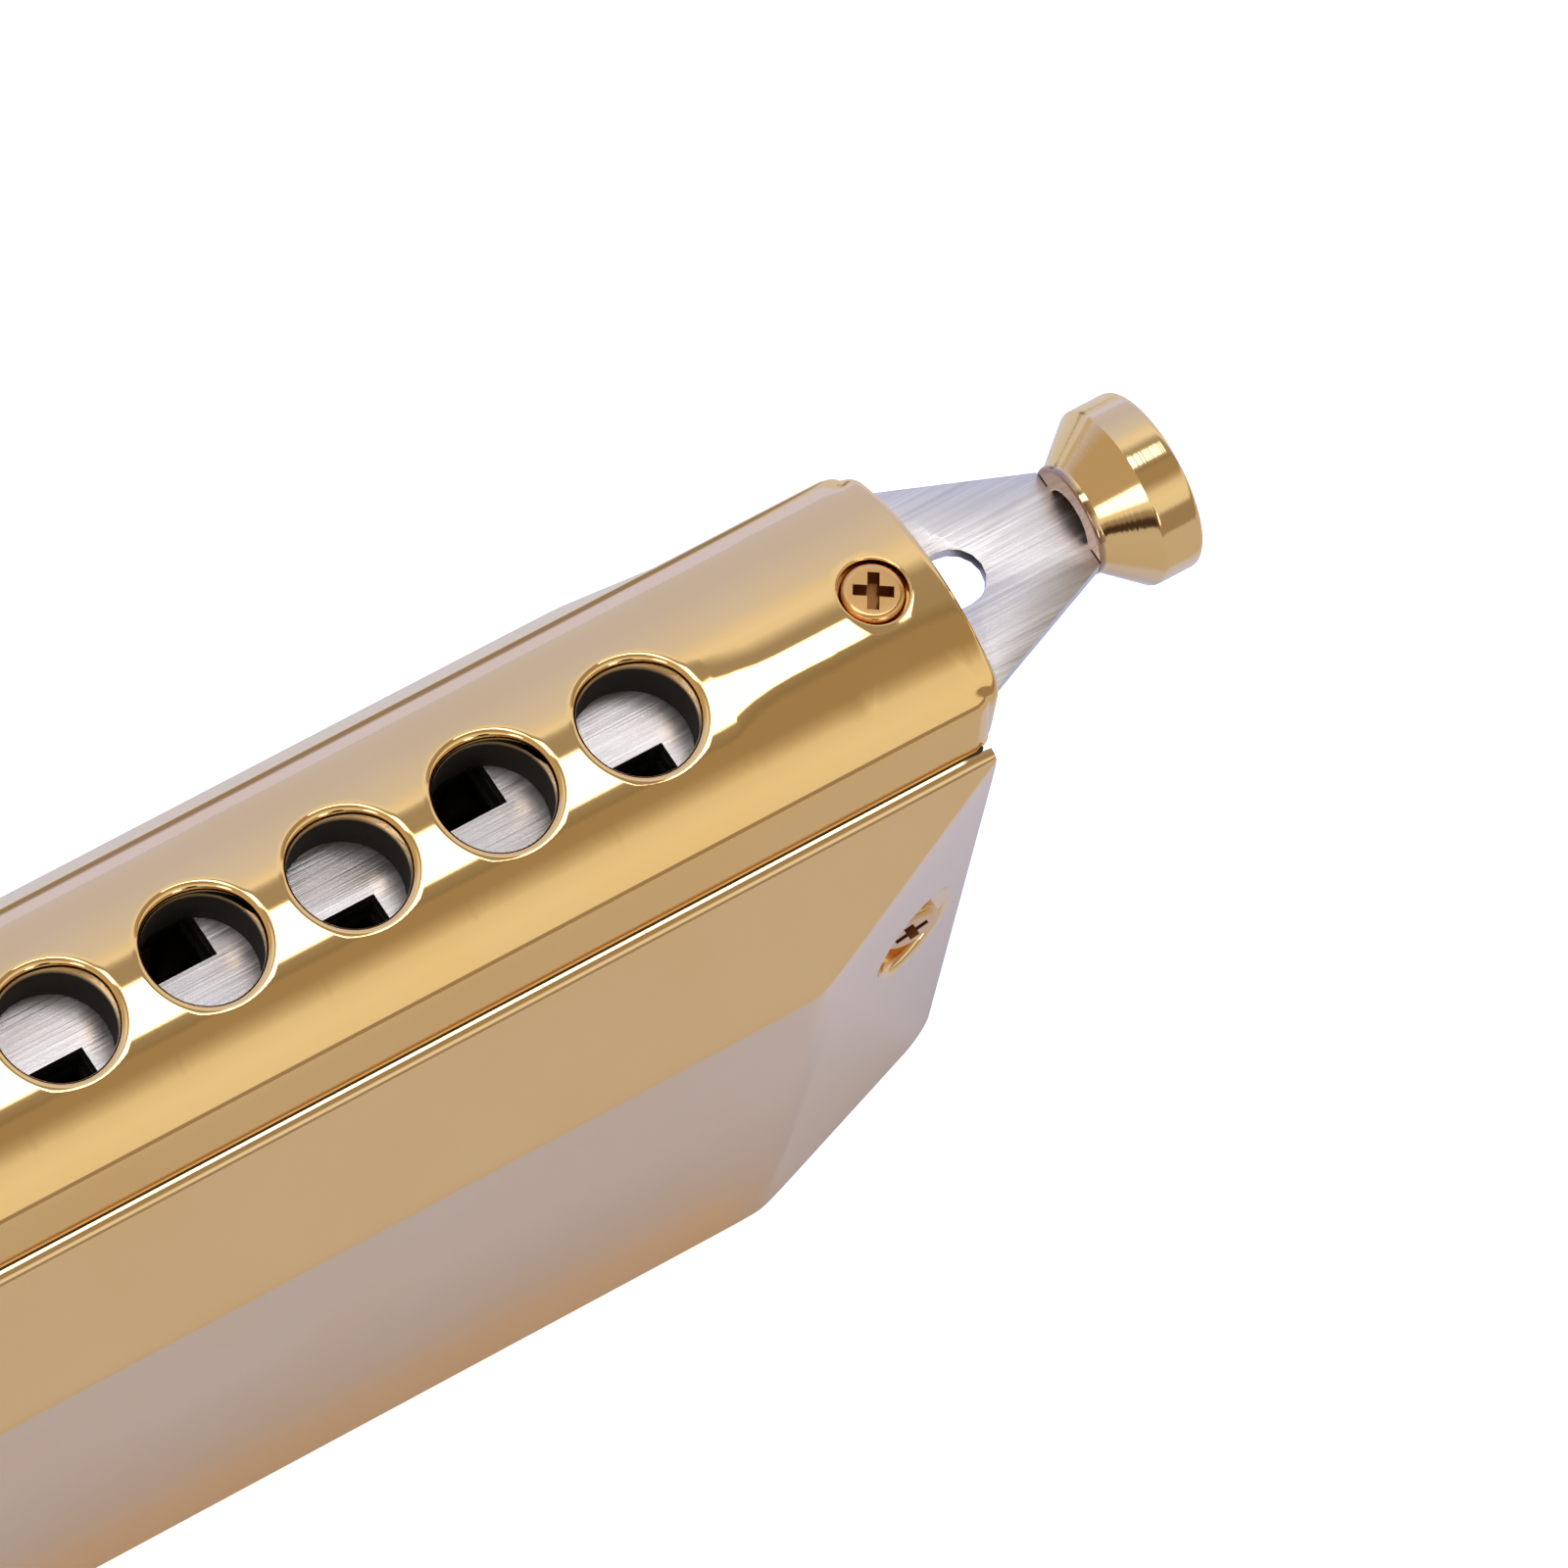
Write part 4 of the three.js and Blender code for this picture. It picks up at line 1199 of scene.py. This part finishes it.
# %% [markdown]
# ## Carried-over nodes
#
# Flat and hidden pieces already have the right shape, and only take a finish.

# %% Finishes on the frame's own pieces
CARRIED = {"comb": COMB_PLASTIC, "slide_base_plate": PLATE_STEEL, "slide_gasket": GASKET_SILICONE,
           "upper_reed_plate": REED_BRASS, "lower_reed_plate": REED_BRASS}
for name, node in NODES.items():
    material = CARRIED.get(name)
    if "sleeve" in name:
        material = SLEEVE_RUBBER
    if material:
        paint(node.data, material)
        print("finish", material.name, "on", name)

# %% [markdown]
# ## Studio
#
# Polished gold shows its surroundings more than itself. Long bands of light and dark run along
# the instrument, as from strip lights and flags in a studio: one bright strip overhead, softer
# ones on each side, and dark gaps between. They give the crown its crisp lines. Two small soft
# boxes and a small dark card catch the round lips of the holes, and the sky at the left end is
# darker, which the neck of the button and the screw dimples show.
#
# The floor is white to the camera. What the gold mirrors of it has other tints: a warm painted light
# under the instrument, for the gold light it throws there, a cool painted shade before it, for its
# shadow under a blue sky, cooler tints beside its end and behind it, and one dark line far off.

# %% Floor
# Places are in millimetres, and each pair says where a zone begins or ends to fade in.
FLOOR_SIZE = 3.0
FLOOR_DROP = 0.00005
# The foot tint is a painted light under the instrument; the near tint is a painted shade close to
# it.
FOOT_PAINTED_LIGHT = (0.68, 0.63, 0.70)
NEAR_PAINTED_SHADE = (0.55, 0.63, 1.0)
END_COLOR = (0.66, 0.72, 1.0)
FAR_COLOR = (0.60, 0.58, 0.56)
BEHIND_COLOR = (0.74, 0.82, 1.0)
LINE_COLOR = (0.26, 0.23, 0.24)
HORIZON_GLOW = (1.0, 1.6, 7.2)
END_GLOW = (0.9, 1.05, 1.5)
FLOOR_GLOW = 0.85
FLOOR_MIRRORED = 0.12
FOOT_WIDTH, FOOT_LENGTH = (17.5, 15.5), (54.0, 60.0)
END_FROM, END_CORNER, CORNER_WIDTH = (66, 72), (56, 59), (15.3, 14.7)
END_GLOW_WIDTH = (22, 18)
FAR_FROM, BESIDE_FROM, HORIZON_FROM = (25, 31), (-45, -20), (190, 240)
LINE_NEAR, LINE_FAR, LINE_LEFT, LINE_RIGHT = (95, 112), (240, 190), (32, 48), (125, 112)


def blank(owner):
    """The emptied shader tree of a material or a world."""
    owner.use_nodes = True
    owner.node_tree.nodes.clear()
    return Signal(owner.node_tree)


def floor_signals(start):
    """The tint of the floor in reflections, with painted light under the instrument and painted
    shade near it, and the tint of its own glow.
    """
    x, y, z = start.node("ShaderNodeTexCoord", output="Object").split()
    along = x - SHIFT * MM
    away = y.math("ABSOLUTE")
    reach = along.math("ABSOLUTE")
    corner = reach.fade(*END_CORNER) * away.fade(*CORNER_WIDTH)
    ends = reach.fade(*END_FROM).math("MAXIMUM", corner)
    beside = x.fade(*BESIDE_FROM)
    line = y.fade(*LINE_NEAR) * y.fade(*LINE_FAR) * x.fade(*LINE_LEFT) * x.fade(*LINE_RIGHT)
    distant = (beside * y.fade(*FAR_FROM)).mix(FAR_COLOR, BEHIND_COLOR)
    distant = line.mix(distant, LINE_COLOR)
    tone = away.fade(*FAR_FROM).mix(ends.mix(NEAR_PAINTED_SHADE, END_COLOR), distant)
    foot = away.fade(*FOOT_WIDTH) * along.within(*FOOT_LENGTH)
    light = (ends * away.fade(*END_GLOW_WIDTH)).mix(EVEN, END_GLOW)
    light = (beside * y.fade(*HORIZON_FROM)).mix(light, HORIZON_GLOW)
    return foot.mix(tone, FOOT_PAINTED_LIGHT), light


def build_floor():
    mesh = bpy.data.meshes.new("floor")
    corners = [(a * FLOOR_SIZE, b * FLOOR_SIZE, -FLOOR_DROP)
               for a, b in ((-1, -1), (1, -1), (1, 1), (-1, 1))]
    mesh.from_pydata(corners, [], [(0, 1, 2, 3)])
    floor = linked("floor", mesh)
    material = bpy.data.materials.new("floor_paper")
    start = blank(material)
    tone, light = floor_signals(start)
    seen = start.node("ShaderNodeLightPath", output="Is Camera Ray")
    mirrored = seen.output("Is Glossy Ray") + seen.output("Is Transmission Ray")
    paper = start.node("ShaderNodeBsdfDiffuse", {"Color": tone})
    glow = start.node("ShaderNodeEmission", {"Color": light, "Strength": FLOOR_GLOW})
    shown = start.node("ShaderNodeAddShader", {0: paper, 1: glow})
    share = seen + mirrored * FLOOR_MIRRORED
    mixed = start.node("ShaderNodeMixShader", {0: share, 1: paper, 2: shown})
    start.node("ShaderNodeOutputMaterial", {"Surface": mixed})
    mesh.materials.append(material)


build_floor()


# %% The light bands of the studio
# Each band has the angle round the X axis at which it stands, in degrees from the horizon on the
# lower cover's side, over the top (90), to the horizon on the far side (180).
BANDS = [
    (-90, (0.5, 0.5, 0.6)), (-14, (0.6, 0.6, 0.66)), (-10, (0.6, 0.6, 0.62)),
    (-4, (0.36, 0.3, 0.24)), (24, (0.36, 0.3, 0.24)), (29, (0.86, 0.84, 0.74)),
    (43, (0.9, 0.88, 0.76)), (53, (0.82, 0.8, 0.7)), (56, (0.68, 0.64, 0.54)),
    (60, (0.52, 0.46, 0.36)), (65, (0.39, 0.32, 0.22)), (80, (0.39, 0.32, 0.22)),
    (84, (0.3, 0.25, 0.18)), (90, (0.38, 0.34, 0.28)), (109, (0.4, 0.37, 0.32)),
    (113, (0.62, 0.6, 0.56)), (117, (0.9, 0.9, 0.88)), (122, (0.92, 0.92, 0.92)),
    (128, (0.85, 0.85, 0.88)), (133, (0.74, 0.79, 0.98)), (148, (0.66, 0.73, 1.02)),
    (160, (0.62, 0.68, 1.04)), (173, (0.62, 0.69, 1.04)), (181, (0.62, 0.72, 1.2)),
    (195, (0.66, 0.82, 1.5)), (269, (0.5, 0.5, 0.6)),
]
FIRST_ANGLE = -90.0
STRIP_COLOR = (3.6, 3.6, 3.6)
STRIP_ANGLES = (89.0, 90.0), (103.7, 102.7)
STRIP_END = (0.375, 0.345)
LEFT_FROM = (-0.45, -0.65)
LEFT_HIGH, LEFT_HIGH_COLOR = (62.0, 66.0), (0.52, 0.44, 0.33)
LEFT_LOW, LEFT_LOW_COLOR = (18.0, 12.0), (0.05, 0.03, 0.02)
SOFT_BOX, DARK_CARD = (3.0, 3.0, 3.0), (0.02, 0.02, 0.02)
# Round patches of the sky: the direction, the radius in degrees and where it has faded, the colour.
PATCHES = [
    ((0.033, -0.922, 0.386), 7.0, 9.0, SOFT_BOX), ((-0.845, -0.31, 0.435), 7.0, 9.0, SOFT_BOX),
    ((-0.345, -0.829, 0.438), 8.0, 11.0, DARK_CARD),
]


def studio_sky(start):
    direction = start.node("ShaderNodeTexCoord", output="Generated")
    along, across, upward = direction.split()
    angle = (across * -1.0).math("ARCTAN2", upward * -1.0) * (0.5 / math.pi)
    turn = (angle + 1.0).math("FRACT")
    degrees = turn * 360.0 + FIRST_ANGLE
    sky = turn.ramp([((place - FIRST_ANGLE) / 360.0, color) for place, color in BANDS])
    left = along.spread(*LEFT_FROM)
    sky = (left * degrees.spread(*LEFT_HIGH)).mix(sky, LEFT_HIGH_COLOR)
    sky = (left * degrees.spread(*LEFT_LOW)).mix(sky, LEFT_LOW_COLOR)
    rising, falling = (degrees.spread(*stretch) for stretch in STRIP_ANGLES)
    strip = rising * falling * along.spread(*STRIP_END) * (1.0 - left)
    sky = strip.mix(sky, STRIP_COLOR)
    for toward, inner, outer, color in PATCHES:
        both = {0: direction, 1: Vector(toward).normalized()}
        cosine = start.node("ShaderNodeVectorMath", both, "Value", operation="DOT_PRODUCT")
        limits = (math.cos(math.radians(degree)) for degree in (outer, inner))
        sky = cosine.spread(*limits).mix(sky, color)
    return sky


def build_studio():
    world = bpy.data.worlds.new("studio")
    bpy.context.scene.world = world
    start = blank(world)
    plain = start.node("ShaderNodeBackground", {"Color": EVEN, "Strength": 1.0})
    studio = start.node("ShaderNodeBackground", {"Color": studio_sky(start), "Strength": 1.0})
    seen = start.node("ShaderNodeLightPath", output="Is Camera Ray")
    mixed = start.node("ShaderNodeMixShader", {0: seen, 1: studio, 2: plain})
    start.node("ShaderNodeOutputWorld", {"Surface": mixed})


build_studio()
